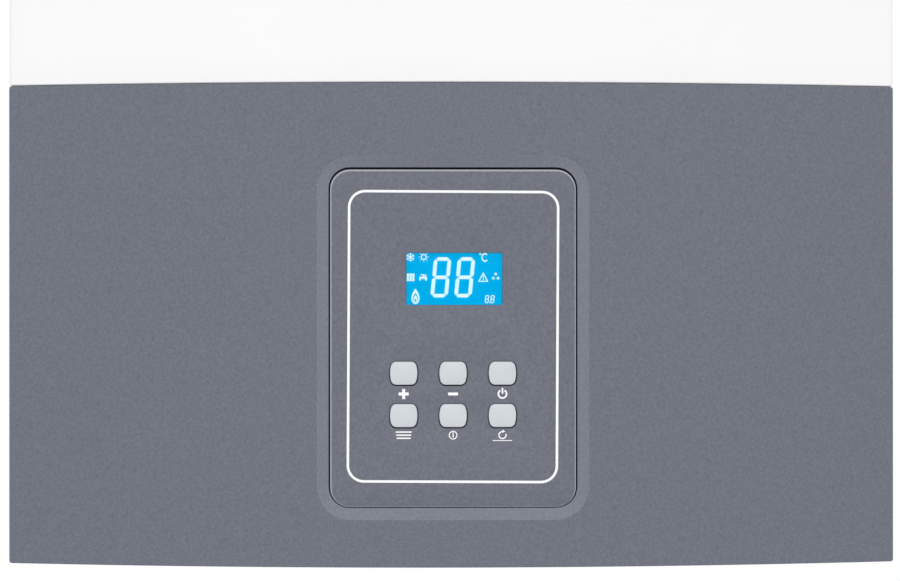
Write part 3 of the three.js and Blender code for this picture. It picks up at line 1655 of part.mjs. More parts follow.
// Pump: cast volute standing on the return block, motor in front, air vent beside it
function pumpHousing() {
  const { z, volute, neck, inletZ, outletZ, backY, frontY } = pump;
  const { flowX, y } = hydro;
  const ventX = flowX + airVent.offset;
  const profile = [
    [0, backY],
    [volute * 0.7, backY],
    [volute, backY - volute / 4],
    [volute, frontY + volute / 8],
    [volute * 1.1, frontY + volute / 8],
    [volute * 1.1, frontY],
    [0, frontY],
  ];
  const body = join(
    turned('y', [flowX, 0, z], profile, 18),
    rod('z', [flowX, y, 0], neck, inletZ + seat, outletZ, 12),
    rod('x', [0, y, airVent.linkZ], airVent.link, flowX, ventX, 10),
    rod('z', [ventX, y, 0], airVent.radius, airVent.linkZ - airVent.link, airVent.bodyTop, 12),
  );
  return piece('pump_housing', body, 'brass');
}

// Length of the motor's cooling ribs, of its depth
const ribShare = 0.75;

function pumpMotor() {
  const { z, motorRadius, motorDepth, ribs, ribHeight, plug, frontY } = pump;
  const face = frontY - seat;
  const core = motorRadius - ribHeight;
  const profile = [
    [0, face],
    [core, face],
    [core, face - motorDepth * 0.82],
    [core * 0.9, face - motorDepth * 0.94],
    [plug * 1.6, face - motorDepth * 0.94],
    [plug, face - motorDepth],
    [0, face - motorDepth],
  ];
  let body = turned('y', [hydro.flowX, 0, z], profile, 16);
  for (let i = 0; i < ribs; i += 1) {
    const angle = (2 * Math.PI * i) / ribs;
    const [c, s] = [Math.cos(angle), Math.sin(angle)];
    const at = (r, t) => [hydro.flowX + r * c - t * s, z + r * s + t * c];
    const [near, far, side] = [core / 2, motorRadius, ribHeight / 2];
    const rib = polygon([at(near, -side), at(far, -side), at(far, side), at(near, side)]);
    body = join(body, prism('y', rib, face - overrun, face - motorDepth * ribShare));
  }
  return piece('pump_motor', body, 'blackPlastic');
}

const airVent = {
  offset: 50,
  radius: 12,
  link: 7,
  height: 34, // of its body over the link
  stem: 3,
  stemLength: 4,
  cap: 6,
  capHeight: 9,
  capStep: 2, // how far its skirt stands in from the vent's body
};
airVent.linkZ = pump.z;
airVent.bodyTop = airVent.linkZ + airVent.height;

function airVentCap() {
  const { radius, stem, cap, capHeight, capStep } = airVent;
  const skirt = radius - capStep;
  const profile = [
    [0, seat],
    [skirt, seat],
    [skirt, capHeight / 3],
    [cap, capHeight / 2],
    [cap, capHeight],
    [0, capHeight],
  ];
  const dial = turned('z', [0, 0, 0], profile, 12);
  const tab = block(-stem / 2, stem / 2, -cap, cap, capHeight - overrun, capHeight + stem);
  const mesh = piece('air_vent_cap', join(dial, tab), 'blackPlastic');
  mesh.position.set(hydro.flowX + airVent.offset, hydro.y, airVent.bodyTop);
  return mesh;
}

// Gas valve in the middle, between its inlet below and the burner pipe above
const gas = {
  setback: 8, // behind the middle between the plate exchanger and the control box
  stub: 10,
  bore: 7.5,
  valveLow: 70,
  valveWidth: 62,
  valveDepth: 50,
  valveHeight: 66,
  chamfer: 6,
  flange: 17,
  flangeHeight: 6,
  coil: 13,
  coilLength: 28,
  coilSpacing: 32,
  coilZ: 112,
  dial: 9,
  tap: 3.5,
  tapLength: 8,
  pipeRadius: 7.5,
  pipeBend: 22,
  pipeRise: 40, // over the floor panel before it runs forward
};
gas.y = (plates.frontY + boxBackY) / 2 + gas.setback;
gas.valveTop = gas.valveLow + gas.valveHeight;
gas.frontY = gas.y - gas.valveDepth / 2;

function gasInletPipe() {
  const { y, stub, bore, valveLow, flange, flangeHeight } = gas;
  const { stubBottom, hex, hexHeight, hexZ, boreDepth } = hydro;
  const top = valveLow - seat;
  const axis = [0, y, 0];
  const body = join(
    rod('z', axis, stub, stubBottom, top, 12),
    rod('z', axis, hex, hexZ, hexZ + hexHeight, 6),
    rod('z', axis, flange, top - flangeHeight, top, 6),
  );
  const hollow = rod('z', axis, bore, stubBottom - overrun, stubBottom + boreDepth, 10);
  return piece('gas_inlet_pipe', cut(body, hollow), 'yellowTube');
}

function gasValve() {
  const { y, valveLow, valveTop, valveWidth, valveDepth, chamfer, flange, flangeHeight } = gas;
  const { coil, coilLength, coilSpacing, coilZ, dial, tap, tapLength, frontY } = gas;
  const [w, d] = [valveWidth / 2, valveDepth / 2];
  const outline = polygon([
    [chamfer - w, y - d], [w - chamfer, y - d], [w, y - d + chamfer], [w, y + d - chamfer],
    [w - chamfer, y + d], [chamfer - w, y + d], [-w, y + d - chamfer], [-w, y - d + chamfer],
  ]);
  let body = join(
    prism('z', outline, valveLow, valveTop - flangeHeight),
    rod('z', [0, y, 0], flange, valveTop - flangeHeight - overrun, valveTop, 6),
    rod('y', [0, 0, valveLow + coil], dial, y, frontY - tapLength, 12),
  );
  for (const side of [-1, 1]) {
    const x = (side * coilSpacing) / 2;
    const end = frontY - coilLength;
    const spool = [
      [0, frontY + overrun],
      [coil, frontY + overrun],
      [coil, end],
      [coil / 2, end - tap],
      [0, end - tap],
    ];
    body = join(body, turned('y', [x, 0, coilZ], spool, 12));
    body = join(body, rod('y', [side * (w - 2 * tap), 0, valveLow + coil], tap, y, frontY - tapLength, 8));
  }
  return piece('gas_valve', body, 'castAluminium');
}

// Where the five connections pass through the bottom panel, with their radius
const connections = [
  [-hydro.flowX, hydro.y, hydro.stub],
  [-hydro.tapX, hydro.y, hydro.stub],
  [hydro.tapX, hydro.y, hydro.stub],
  [hydro.flowX, hydro.y, hydro.stub],
  [0, gas.y, gas.stub],
];

// Routes of the pipes, from fitting to fitting
const pipes = {
  radius: 9,
  bend: 24,
  sideRoom: 27, // from the casing's sides to the upright runs beside the stack
  crossing: 45, // height over the floor where they turn outwards
  rise: 50, // and over which they slant
  vesselRadius: 5,
  vesselBend: 14,
  vesselX: 73,
  vesselBelowStack: 26,
  vesselFitting: 6, // from the return block to the foot of the vessel's pipe
};
pipes.runX = half - pipes.sideRoom;
const crossingZ = floorPanel.z + pipes.crossing;

const flowRoute = {
  floorPlace: [-hydro.flowX, hydro.y, pipes.radius],
  corners: [
    [-exchanger.portX - seat, exchanger.frontY, exchanger.z],
    [-pipes.runX, exchanger.frontY, exchanger.z],
    [-pipes.runX, exchanger.frontY, crossingZ + pipes.rise],
    [-hydro.flowX, hydro.y, crossingZ],
    [-hydro.flowX, hydro.y, diverter.top + seat],
  ],
};
const returnRoute = {
  floorPlace: [hydro.flowX, hydro.y, pipes.radius],
  corners: [
    [exchanger.portX + seat, exchanger.rearY, exchanger.z],
    [pipes.runX, exchanger.rearY, exchanger.z],
    [pipes.runX, exchanger.rearY, crossingZ + pipes.rise],
    [hydro.flowX, hydro.y, crossingZ],
    [hydro.flowX, hydro.y, pump.outletZ + seat],
  ],
};
const vesselRoute = {
  foot: hydro.upperArm + hydro.upperArmHeight + pipes.vesselFitting,
  floorPlace: [pipes.vesselX, hydro.y, pipes.vesselRadius],
};
const vesselRunZ = stack.burnerZ - pipes.vesselBelowStack;
vesselRoute.corners = [
  [0, vessel.seamY, vessel.pipeTop],
  [0, vessel.seamY, vesselRunZ],
  [pipes.vesselX, hydro.y, vesselRunZ],
  [pipes.vesselX, hydro.y, vesselRoute.foot],
];
const gasRunZ = floorPanel.z + gas.pipeRise;
const gasRoute = {
  floorPlace: [0, gas.y, gas.pipeRadius],
  corners: [
    [0, gas.y, gas.valveTop + seat],
    [0, gas.y, gasRunZ],
    [0, manifold.y, gasRunZ],
    [0, manifold.y, burner.mouthZ - manifold.size / 2 - seat],
  ],
};

function pipePieces() {
  return [
    piece('flow_pipe', pipe(flowRoute.corners, pipes.radius, pipes.bend), 'copper'),
    piece('return_pipe', pipe(returnRoute.corners, pipes.radius, pipes.bend), 'copper'),
    piece('vessel_pipe', pipe(vesselRoute.corners, pipes.vesselRadius, pipes.vesselBend), 'copper'),
    piece('gas_burner_pipe', pipe(gasRoute.corners, gas.pipeRadius, gas.pipeBend), 'yellowTube'),
  ];
}

// Assembly, in the casing's frame
const podGroup = new THREE.Group();
podGroup.position.copy(podCentre);
podGroup.add(controlPod(), displayWindow(), displayModule(), keyMatPiece(), displayBoardPiece());
for (const [name, column, row] of keyPlaces) podGroup.add(keyCap(name, column, row));

const fanGroup = new THREE.Group();
fanGroup.position.set(fan.x, fan.backY, fan.z);
fanGroup.add(fanHousing(), fanImpeller(), fanMotor());

const stackGroup = new THREE.Group();
stackGroup.add(
  supportArmPiece('support_arm_left', -1),
  supportArmPiece('support_arm_right', 1),
  burnerPiece(),
  gasManifold(),
  combustionChamber(),
  sightGlass(),
  electrodePair(),
  exchangerJacket(),
  heatExchanger(),
  flueHood(),
  fanGroup,
  airPressureSwitch(),
  flueInnerTube(),
  flueCollar(),
);

const waterGroup = new THREE.Group();
waterGroup.add(
  expansionVessel(),
  plateExchanger(),
  flowBlock(),
  diverterActuator(),
  pressureSensor(),
  returnBlock(),
  fillingTapKnob(),
  safetyValvePiece(),
  safetyValveKnob(),
  pumpHousing(),
  pumpMotor(),
  airVentCap(),
  gasInletPipe(),
  gasValve(),
  ...pipePieces(),
);

const boiler = new THREE.Group();
boiler.add(
  wallBracket(),
  rearFrame(),
  sidePanelPiece('side_panel_left', -1),
  sidePanelPiece('side_panel_right', 1),
  airBoxFloor(),
  topPanel(),
  bottomPanelPiece(),
  frontCover(),
  coverGasket(),
  lowerFascia(),
  hingeArmPiece('hinge_arm_left', -1),
  hingeArmPiece('hinge_arm_right', 1),
  podGroup,
  controlBox(),
  controlBoxLid(),
  controlBoard(),
  stackGroup,
  waterGroup,
);
boiler.position.copy(mountPoint).negate();

export default boiler;
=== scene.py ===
# Wall-mounted gas boiler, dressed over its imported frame. Blender 4.5.
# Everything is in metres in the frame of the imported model: X to the right,
# the front towards -Y, Z up, origin in the middle of the wall bracket's back.
import math

import bmesh
import bpy
import numpy as np
from mathutils import Matrix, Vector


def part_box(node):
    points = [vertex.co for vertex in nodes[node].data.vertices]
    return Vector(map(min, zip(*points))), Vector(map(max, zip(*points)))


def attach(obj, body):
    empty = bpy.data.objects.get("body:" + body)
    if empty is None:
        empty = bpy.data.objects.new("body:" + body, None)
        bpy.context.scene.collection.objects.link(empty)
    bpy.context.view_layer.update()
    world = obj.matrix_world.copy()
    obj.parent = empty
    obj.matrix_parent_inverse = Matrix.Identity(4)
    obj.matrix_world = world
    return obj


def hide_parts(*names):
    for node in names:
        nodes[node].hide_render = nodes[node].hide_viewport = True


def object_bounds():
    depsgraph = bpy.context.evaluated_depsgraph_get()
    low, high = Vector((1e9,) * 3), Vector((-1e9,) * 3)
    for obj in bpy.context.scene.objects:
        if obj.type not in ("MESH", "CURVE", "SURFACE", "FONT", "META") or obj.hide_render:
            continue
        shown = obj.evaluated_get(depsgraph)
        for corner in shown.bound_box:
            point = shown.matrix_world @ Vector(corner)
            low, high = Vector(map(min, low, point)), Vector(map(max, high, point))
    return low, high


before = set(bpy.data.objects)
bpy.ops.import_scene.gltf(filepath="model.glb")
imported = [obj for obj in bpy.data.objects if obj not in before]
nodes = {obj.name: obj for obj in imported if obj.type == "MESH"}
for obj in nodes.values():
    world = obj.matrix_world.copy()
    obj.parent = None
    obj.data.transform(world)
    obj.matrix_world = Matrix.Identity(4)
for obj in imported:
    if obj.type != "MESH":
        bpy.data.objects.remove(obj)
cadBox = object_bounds()
mm = 0.001
print("frame loaded:", len(nodes), "nodes")


def linear(colour):
    # sRGB 0 to 255 to linear light: the standard curve with its straight foot.
    c = np.asarray(colour, float) / 255
    return (*np.where(c <= 0.04045, c / 12.92, ((c + 0.055) / 1.055) ** 2.4), 1)


def ringSkin(rings, closeStart=True, closeEnd=True, wrap=False):
    # Skin over rings of equally many points: a four-sided face between each two
    # neighbours on a ring and the two opposite them on the next ring, and a flat cap
    # at either end. With wrap the last ring joins the first.
    rings = np.asarray(rings, float)
    count, points = rings.shape[:2]
    here = np.arange(count if wrap else count - 1)[:, None]
    i = np.arange(points)[None, :]
    j = (i + 1) % points
    a, b = here * points, ((here + 1) % count) * points
    faces = np.stack([a + i, a + j, b + j, b + i], -1).reshape(-1, 4).tolist()
    if closeStart and not wrap:
        faces.append(list(range(points))[::-1])
    if closeEnd and not wrap:
        faces.append(list(range((count - 1) * points, count * points)))
    return rings.reshape(-1, 3), faces


def gridSkin(points, keep=None):
    # Open sheet over a grid of rows and columns of points. keep tells, for the middle
    # of each cell, whether it is there.
    rows, columns = points.shape[:2]
    a = (np.arange(rows - 1)[:, None] * columns + np.arange(columns - 1)[None, :]).ravel()
    faces = np.stack([a, a + 1, a + 1 + columns, a + columns], -1)
    if keep is not None:
        faces = faces[keep((points[:-1, :-1] + points[1:, 1:]).reshape(-1, 3) / 2)]
    return points.reshape(-1, 3), faces.tolist()


def joined(*skins):
    # Several skins as one, with the face numbers moved up.
    vertices, faces, start = [], [], 0
    for places, corners in skins:
        vertices.append(np.asarray(places, float))
        faces += [[c + start for c in face] for face in corners]
        start += len(places)
    return np.concatenate(vertices), faces


def moved(skin, offset, scale=1):
    return skin[0] * scale + offset, skin[1]


def addPiece(name, skins, slotName, replaced=(), body="chassis", finish=None, smoothAngle=40, weld=1e-6):
    # A mesh object from skins in millimetres: doubles merged, normals outwards, smooth up
    # to an angle, riding on a body and with its finish.
    places, faces = joined(*skins) if isinstance(skins, list) else skins
    mesh = bpy.data.meshes.new(name)
    mesh.from_pydata((np.asarray(places) * mm).tolist(), [], faces)
    work = bmesh.new()
    work.from_mesh(mesh)
    if weld:
        bmesh.ops.remove_doubles(work, verts=work.verts, dist=weld)
        bmesh.ops.dissolve_degenerate(work, edges=work.edges, dist=weld)
    bmesh.ops.recalc_face_normals(work, faces=work.faces)
    work.to_mesh(mesh)
    work.free()
    mesh.shade_smooth()
    mesh.set_sharp_from_angle(angle=math.radians(smoothAngle))
    mesh.materials.append(finish or finishes[slotName])
    piece = bpy.data.objects.new(name, mesh)
    bpy.context.scene.collection.objects.link(piece)
    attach(piece, body)
    if replaced:
        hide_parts(replaced)
    return piece


def roundedOutline(width, height, radius, arcSteps=6, edgeSteps=1, bulge=0.0):
    # Rounded rectangle about the origin, anticlockwise from the lower right corner. Each
    # edge has edgeSteps parts, and bulge bows it outwards by a parabola.
    radius = max(radius, 1e-4)
    w, h = width / 2 - radius, height / 2 - radius
    corners = np.array([(w, -h), (w, h), (-w, h), (-w, -h)])
    share = np.linspace(0, 1, edgeSteps + 1)[1:-1, None]
    points = []
    for k in range(4):
        angle = (k - 1 + np.linspace(0, 1, arcSteps + 1)) * np.pi / 2
        points.append(corners[k] + radius * np.stack([np.cos(angle), np.sin(angle)], -1))
        out = np.array([np.cos(k * np.pi / 2), np.sin(k * np.pi / 2)])
        start, end = corners[k] + out * radius, corners[(k + 1) % 4] + out * radius
        points.append(start + (end - start) * share)
    outline = np.concatenate(points)
    if bulge:
        lean = np.clip(np.abs(outline[:, 1]) / (height / 2), 0, 1)
        atSide = np.abs(outline[:, 0]) > w
        outline[:, 0] += np.sign(outline[:, 0]) * bulge * (1 - lean ** 2) * atSide
    return outline


def onAxis(axis, outline, place):
    # Flat outline (a, b) to space: (y, z) across X, (x, z) across Y, (x, y) across Z.
    along = np.broadcast_to(place, len(outline)).astype(float)
    a, b = outline[:, 0], outline[:, 1]
    return np.stack({"x": (along, a, b), "y": (a, along, b), "z": (a, b, along)}[axis], -1)


def softBlock(low, high, edge=0.6, corner=None):
    # Box from its low to its high corner with rounded edges. Going round the front or back
    # rim by an angle t, the outline shrinks by edge (1 - sin t) and stands edge (1 - cos t)
    # in from the end.
    low, high = np.minimum(low, high).astype(float), np.maximum(low, high).astype(float)
    size, middle = high - low, (low + high) / 2
    corner = edge * 1.5 if corner is None else corner
    rim = [(edge * (1 - math.sin(t)), edge * (1 - math.cos(t))) for t in np.linspace(0, np.pi / 2, 4)]
    stations = [(inset, low[1] + rise) for inset, rise in rim]
    stations += [(inset, high[1] - rise) for inset, rise in rim[::-1]]
    return ringSkin([onAxis("y", roundedOutline(
        size[0] - 2 * inset, size[2] - 2 * inset, corner - inset, 3) + middle[[0, 2]], place)
        for inset, place in stations])


def turnedSkin(axis, centre, corners, sides=36, steps=3):
    # Turned form: each corner (radius, place), or (radius, place, softness) where it is
    # rounded, carried once round the axis. A radius of zero closes it there, and a profile
    # that ends where it starts is a ring.
    corners = np.asarray(corners, float)
    soft = corners[:, 2] if corners.shape[1] == 3 else np.zeros(len(corners))
    profile = roundedProfile(corners[:, :2], soft, steps)
    spokes = circle(1, points=sides)
    rings = [onAxis(axis, spokes * r, s) + np.asarray(centre, float) for r, s in profile]
    if np.allclose(profile[0], profile[-1]):
        return ringSkin(rings[:-1], wrap=True)
    return ringSkin(rings, profile[0][0] > 0, profile[-1][0] > 0)


def solid(axis, centre, corners, sides=36, steps=3):
    # Turned form closed flat at both ends.
    return turnedSkin(axis, centre, [(0, corners[0][1], 0), *corners, (0, corners[-1][1], 0)], sides, steps)


def rod(axis, centre, radius, start, end, sides=36, soft=0):
    # Round bar between two places on its axis, its rims rounded.
    return solid(axis, centre, [(radius, start, soft), (radius, end, soft)], sides)


def circle(radius, centre=(0, 0), points=32):
    angle = np.linspace(0, 2 * np.pi, points, endpoint=False)
    return np.stack([radius * np.cos(angle), radius * np.sin(angle)], -1) + centre


def roundedProfile(corners, soft, steps):
    # Profile through corners, where each inner corner that is soft becomes a parabola that
    # touches both sides like an arc of that radius, or as far as they leave room.
    points = [corners[0]]
    for before, here, after, radius in zip(corners[:-2], corners[1:-1], corners[2:], soft[1:-1]):
        into, out = here - before, after - here
        lengths = np.linalg.norm(into), np.linalg.norm(out)
        into, out = into / lengths[0], out / lengths[1]
        half = np.arccos(np.clip(into @ out, -1, 1)) / 2
        if half < 1e-3 or radius == 0:
            points.append(here)
            continue
        reach = min(radius * math.tan(half), 0.45 * min(lengths))
        share = np.linspace(0, 1, steps + 1)[:, None]
        a, b = here - into * reach, here + out * reach
        points += list((1 - share) ** 2 * a + 2 * share * (1 - share) * here + share ** 2 * b)
    return np.array(points + [corners[-1]])


def roundedPath(corners, radius, steps):
    # Path of straight runs joined by true arcs of the bend radius, one value or one for
    # each corner.
    corners = np.asarray(corners, float)
    path = [corners[0]]
    radii = np.broadcast_to(radius, len(corners) - 2)
    for before, here, after, bend in zip(corners[:-2], corners[1:-1], corners[2:], radii):
        into = (here - before) / np.linalg.norm(here - before)
        out = (after - here) / np.linalg.norm(after - here)
        angle = math.acos(np.clip(into @ out, -1, 1))
        inward = out - into * (out @ into)
        inward /= np.linalg.norm(inward)
        centre = here - into * bend * math.tan(angle / 2) + inward * bend
        turn = (np.linspace(0, 1, steps + 1) * angle)[:, None]
        path += list(centre + bend * (np.sin(turn) * into - np.cos(turn) * inward))
    return np.array(path + [corners[-1]])


def tubeSkin(path, radius, sides):
    # Tube: at each point of the path a circle across the tangent, laid out from its cross
    # product with one slanted direction that no run is parallel to.
    slanted = (0.31, 0.83, 0.47)
    path = np.asarray(path, float)
    tangent = np.gradient(path, axis=0)
    tangent /= np.linalg.norm(tangent, axis=1)[:, None]
    first = np.cross(tangent, slanted)
    first /= np.linalg.norm(first, axis=1)[:, None]
    second = np.cross(tangent, first)
    a, b = circle(1, points=sides).T[:, None, :, None]
    return ringSkin(path[:, None] + (first[:, None] * a + second[:, None] * b) * radius)


def flatPlate(outlines, axis, start, end, edge=0.0):
    # Plate with holes: a filled flat curve of all its outlines, given a thickness and a
    # rounded rim, made a mesh and then laid across its axis between two places.
    curve = bpy.data.curves.new("plate", "CURVE")
    curve.dimensions = "2D"
    curve.fill_mode = "BOTH"
    curve.extrude = abs(end - start) / 2 - edge
    curve.bevel_depth = edge
    curve.bevel_resolution = 2
    curve.offset = -edge
    for outline in outlines:
        spline = curve.splines.new("POLY")
        spline.points.add(len(outline) - 1)
        flat = np.pad(outline, ((0, 0), (0, 2)))
        flat[:, 3] = 1
        spline.points.foreach_set("co", flat.ravel())
        spline.use_cyclic_u = True
    holder = bpy.data.objects.new("plate", curve)
    mesh = bpy.data.meshes.new_from_object(holder)
    bpy.data.objects.remove(holder)
    bpy.data.curves.remove(curve)
    places = np.empty(len(mesh.vertices) * 3)
    mesh.vertices.foreach_get("co", places)
    places = places.reshape(-1, 3)
    faces = [list(polygon.vertices) for polygon in mesh.polygons]
    bpy.data.meshes.remove(mesh)
    return onAxis(axis, places[:, :2], (start + end) / 2 + places[:, 2]), faces


# Finishes. Each reads Object coordinates: a coarse noise shifts the colour between two
# tones and the roughness between two levels, and a fine one gives the height.
def addNode(tree, kind, inputs, output=0, **options):
    # An input is given as a value, or as the output of the node that feeds it.
    node = tree.nodes.new("ShaderNode" + kind)
    for option, value in options.items():
        setattr(node, option, value)
    feed(tree, node, inputs)
    return node.outputs[output]


def feed(tree, node, inputs):
    for socket, value in inputs.items():
        if isinstance(value, bpy.types.NodeSocket):
            tree.links.new(value, node.inputs[socket])
        else:
            node.inputs[socket].default_value = value


def newFinish(name, colour, roughness, metallic=0.0):
    material = bpy.data.materials.new(name)
    material.use_nodes = True
    tree = material.node_tree
    shader = tree.nodes["Principled BSDF"]
    feed(tree, shader, {"Base Color": linear(colour), "Roughness": roughness, "Metallic": metallic})
    return material, tree, shader


def objectPlaces(tree, stretch=(1, 1, 1)):
    places = addNode(tree, "TexCoord", {}, "Object")
    return addNode(tree, "Mapping", {"Vector": places, "Scale": stretch}, "Vector")


def noiseOn(tree, places, scale, detail=3.0):
    return addNode(tree, "TexNoise", {"Vector": places, "Scale": scale, "Detail": detail}, "Fac")


def spread(tree, value, low, high, fromLow=0.3, fromHigh=0.7):
    return addNode(tree, "MapRange", {"Value": value, "From Min": fromLow, "From Max": fromHigh,
                                      "To Min": low, "To Max": high}, "Result")


def twoTone(tree, factor, first, second):
    colours = {0: factor, 6: linear(first), 7: linear(second)}
    return addNode(tree, "Mix", colours, 2, data_type="RGBA")


def raised(tree, height, depth):
    return addNode(tree, "Bump", {"Distance": depth * mm, "Strength": 1, "Height": height}, "Normal")


def grainedFinish(name, first, second, roughness, metallic, toneScale, toneDetail, grainScale, grainDepth,
                  stretch=(1, 1, 1)):
    material, tree, shader = newFinish(name, first, sum(roughness) / 2, metallic)
    places = objectPlaces(tree, stretch)
    tone = spread(tree, noiseOn(tree, places, toneScale, toneDetail), 0, 1)
    grain = noiseOn(tree, places, grainScale, 2)
    feed(tree, shader, {"Base Color": twoTone(tree, tone, first, second),
                        "Roughness": spread(tree, grain, *roughness),
                        "Normal": raised(tree, grain, grainDepth)})
    return material


def flakedFinish(name, first, second, roughness, metallic, cell, depth=0.004):
    # Hot-dip zinc: cells of one tone each, with a faint noise over them.
    material, tree, shader = newFinish(name, first, sum(roughness) / 2, metallic)
    places = objectPlaces(tree)
    cells = addNode(tree, "TexVoronoi", {"Vector": places, "Scale": 1 / (cell * mm)}, "Color")
    red, green = (addNode(tree, "SeparateColor", {"Color": cells}, part) for part in ("Red", "Green"))
    feed(tree, shader, {"Base Color": twoTone(tree, red, first, second),
                        "Roughness": spread(tree, green, *roughness, 0, 1),
                        "Normal": raised(tree, noiseOn(tree, places, 900, 2), depth)})
    return material


def boardFinish(name, first, second, roughness=0.42, cells=160, trackPitch=0.12, track=(0.05, 0.065),
                depth=0.03):
    # Circuit board: tracks where the distance in a square-celled texture passes a level.
    material, tree, shader = newFinish(name, first, roughness)
    distance = addNode(tree, "TexVoronoi", {"Vector": objectPlaces(tree), "Scale": cells}, "Distance",
                       distance="CHEBYCHEV")
    level = addNode(tree, "Math", {0: distance, 1: trackPitch}, operation="PINGPONG")
    edge = spread(tree, level, 0, 1, *track)
    feed(tree, shader, {"Base Color": twoTone(tree, edge, first, second),
                        "Normal": raised(tree, edge, depth)})
    return material


# Name, both tones, both levels of roughness, metal, scale and detail of the tones, scale
# and depth of the grain, and for some the stretch of both noises
finishRows = {
    "white_paint": ("whitePaint", (247, 246, 247), (245, 244, 245), (0.36, 0.42), 0, 14, 2, 2600, 0.004),
    "grey_moulding": ("greyMoulding", (108, 112.5, 124.5), (92, 96.5, 108.5), (0.5, 0.6), 0, 900, 6, 2400,
                      0.035),
    "key_rubber": ("keyRubber", (207, 212, 217), (203, 208, 213), (0.45, 0.52), 0, 90, 3, 3000, 0.006),
    "foam": ("sealingFoam", (46, 47, 49), (32, 33, 35), (0.9, 1.0), 0, 700, 4, 1400, 0.25),
    "black_plastic": ("blackPlastic", (38, 39, 42), (31, 32, 34), (0.42, 0.55), 0, 60, 3, 1800, 0.02),
    "grey_plastic": ("greyPlastic", (150, 155, 160), (143, 148, 153), (0.45, 0.58), 0, 50, 3, 1700, 0.02),
    "insulation": ("fibreBoard", (226, 219, 200), (206, 197, 176), (0.9, 1.0), 0, 55, 6, 900, 0.3,
                   (1, 1, 2.2)),
    "stainless": ("brushedStainless", (196, 198, 200), (180, 182, 185), (0.22, 0.36), 1, 30, 2, 700, 0.003,
                  (1, 1, 14)),
    "copper": ("copper", (206, 128, 92), (176, 98, 66), (0.22, 0.4), 1, 26, 5, 900, 0.004),
    "brass": ("castBrass", (206, 178, 110), (184, 154, 88), (0.3, 0.45), 1, 70, 4, 1300, 0.03),
    "cast_aluminium": ("castAluminium", (190, 192, 194), (170, 172, 175), (0.42, 0.6), 0.95, 80, 4, 1100,
                       0.06),
    "red_enamel": ("redEnamel", (176, 32, 28), (164, 27, 24), (0.28, 0.36), 0, 20, 3, 700, 0.01),
    "blue_plastic": ("bluePlastic", (34, 84, 178), (30, 76, 166), (0.36, 0.46), 0, 60, 3, 1600, 0.012),
    "red_plastic": ("redPlastic", (190, 34, 32), (178, 30, 28), (0.36, 0.46), 0, 60, 3, 1600, 0.012),
    "ceramic": ("glazedCeramic", (240, 237, 228), (232, 228, 216), (0.16, 0.26), 0, 90, 3, 1500, 0.004),
    "yellow_tube": ("yellowTube", (216, 178, 74), (202, 162, 58), (0.26, 0.4), 0.9, 30, 4, 900, 0.005),
    "sight_glass": ("sightGlass", (150, 166, 170), (132, 150, 154), (0.04, 0.08), 0, 40, 2, 600, 0.001),
    "clear_window": ("clearWindow", (230, 244, 252), (226, 241, 250), (0.02, 0.04), 0, 40, 2, 600, 0.0005),
    "display_blue": ("displayBlue", (0, 172, 243), (0, 168, 240), (0.3, 0.36), 0, 200, 2, 2600, 0.002),
}
finishes = {slotName: grainedFinish(*row) for slotName, row in finishRows.items()}
finishes["galvanised"] = flakedFinish("galvanisedSheet", (176, 181, 185), (154, 160, 165), (0.36, 0.52),
                                      0.85, 7)
finishes["circuit_board"] = boardFinish("circuitBoard", (24, 92, 50), (48, 130, 74))
for node in nodes.values():
    for materialSlot in node.material_slots:
        materialSlot.material = finishes[materialSlot.material.name.split(".")[0]]
print("finishes made:", len(finishes))

# Camera at the photograph's place: turned by a small yaw, pitch and roll
view = {
    "place": (-19.69, -1504.82, -544.55),
    "yaw": -0.0155089,
    "pitch": 0.0004148,
    "roll": 0.00030134,
    "lens": 103.632,
    "sensor": 36.0,
}
scene = bpy.context.scene
cameraData = bpy.data.cameras.new("photoCamera")
cameraData.lens = view["lens"]
cameraData.sensor_width = view["sensor"]
cameraData.sensor_fit = "HORIZONTAL"
cameraData.clip_start = 0.01
camera = bpy.data.objects.new("photoCamera", cameraData)
scene.collection.objects.link(camera)
turn = Matrix.Identity(4)
for angle, axis in ((view["yaw"], "Z"), (view["pitch"], "X"), (view["roll"], "Y"), (math.pi / 2, "X")):
    turn = turn @ Matrix.Rotation(angle, 4, axis)
camera.matrix_world = Matrix.Translation([c * mm for c in view["place"]]) @ turn
scene.camera = camera

# Plain soft light: an even white surrounding that camera, gloss and glass see at 1, and one
# wide lamp from above the front
studio = {
    "surround": 0.76,
    "lamp": 0.92,
    "lampAngle": 70,
    "lampTilt": 35,
    "floorDrop": 260,
    "floorRadii": (1700, 400, 50),
    "floorLift": 0.14,
}
scene.view_settings.view_transform = "Standard"
world = bpy.data.worlds.new("studio")
scene.world = world
world.use_nodes = True
tree = world.node_tree
backdrop = tree.nodes["Background"]
feed(tree, backdrop, {"Color": (1, 1, 1, 1), "Strength": 1})
soft = addNode(tree, "Background", {"Color": (1, 1, 1, 1), "Strength": studio["surround"]})
seen, glossy, through = (addNode(tree, "LightPath", {}, "Is " + kind + " Ray")
                         for kind in ("Camera", "Glossy", "Transmission"))
for kind in (glossy, through):
    seen = addNode(tree, "Math", {0: seen, 1: kind}, operation="MAXIMUM")
choice = addNode(tree, "MixShader", {"Fac": seen, 1: soft, 2: backdrop.outputs["Background"]})
feed(tree, tree.nodes["World Output"], {"Surface": choice})

lampData = bpy.data.lights.new("softLamp", "SUN")
lampData.energy = studio["lamp"]
lampData.angle = math.radians(studio["lampAngle"])
lamp = bpy.data.objects.new("softLamp", lampData)
lamp.rotation_euler = (math.radians(90 - studio["lampTilt"]), 0, 0)
scene.collection.objects.link(lamp)

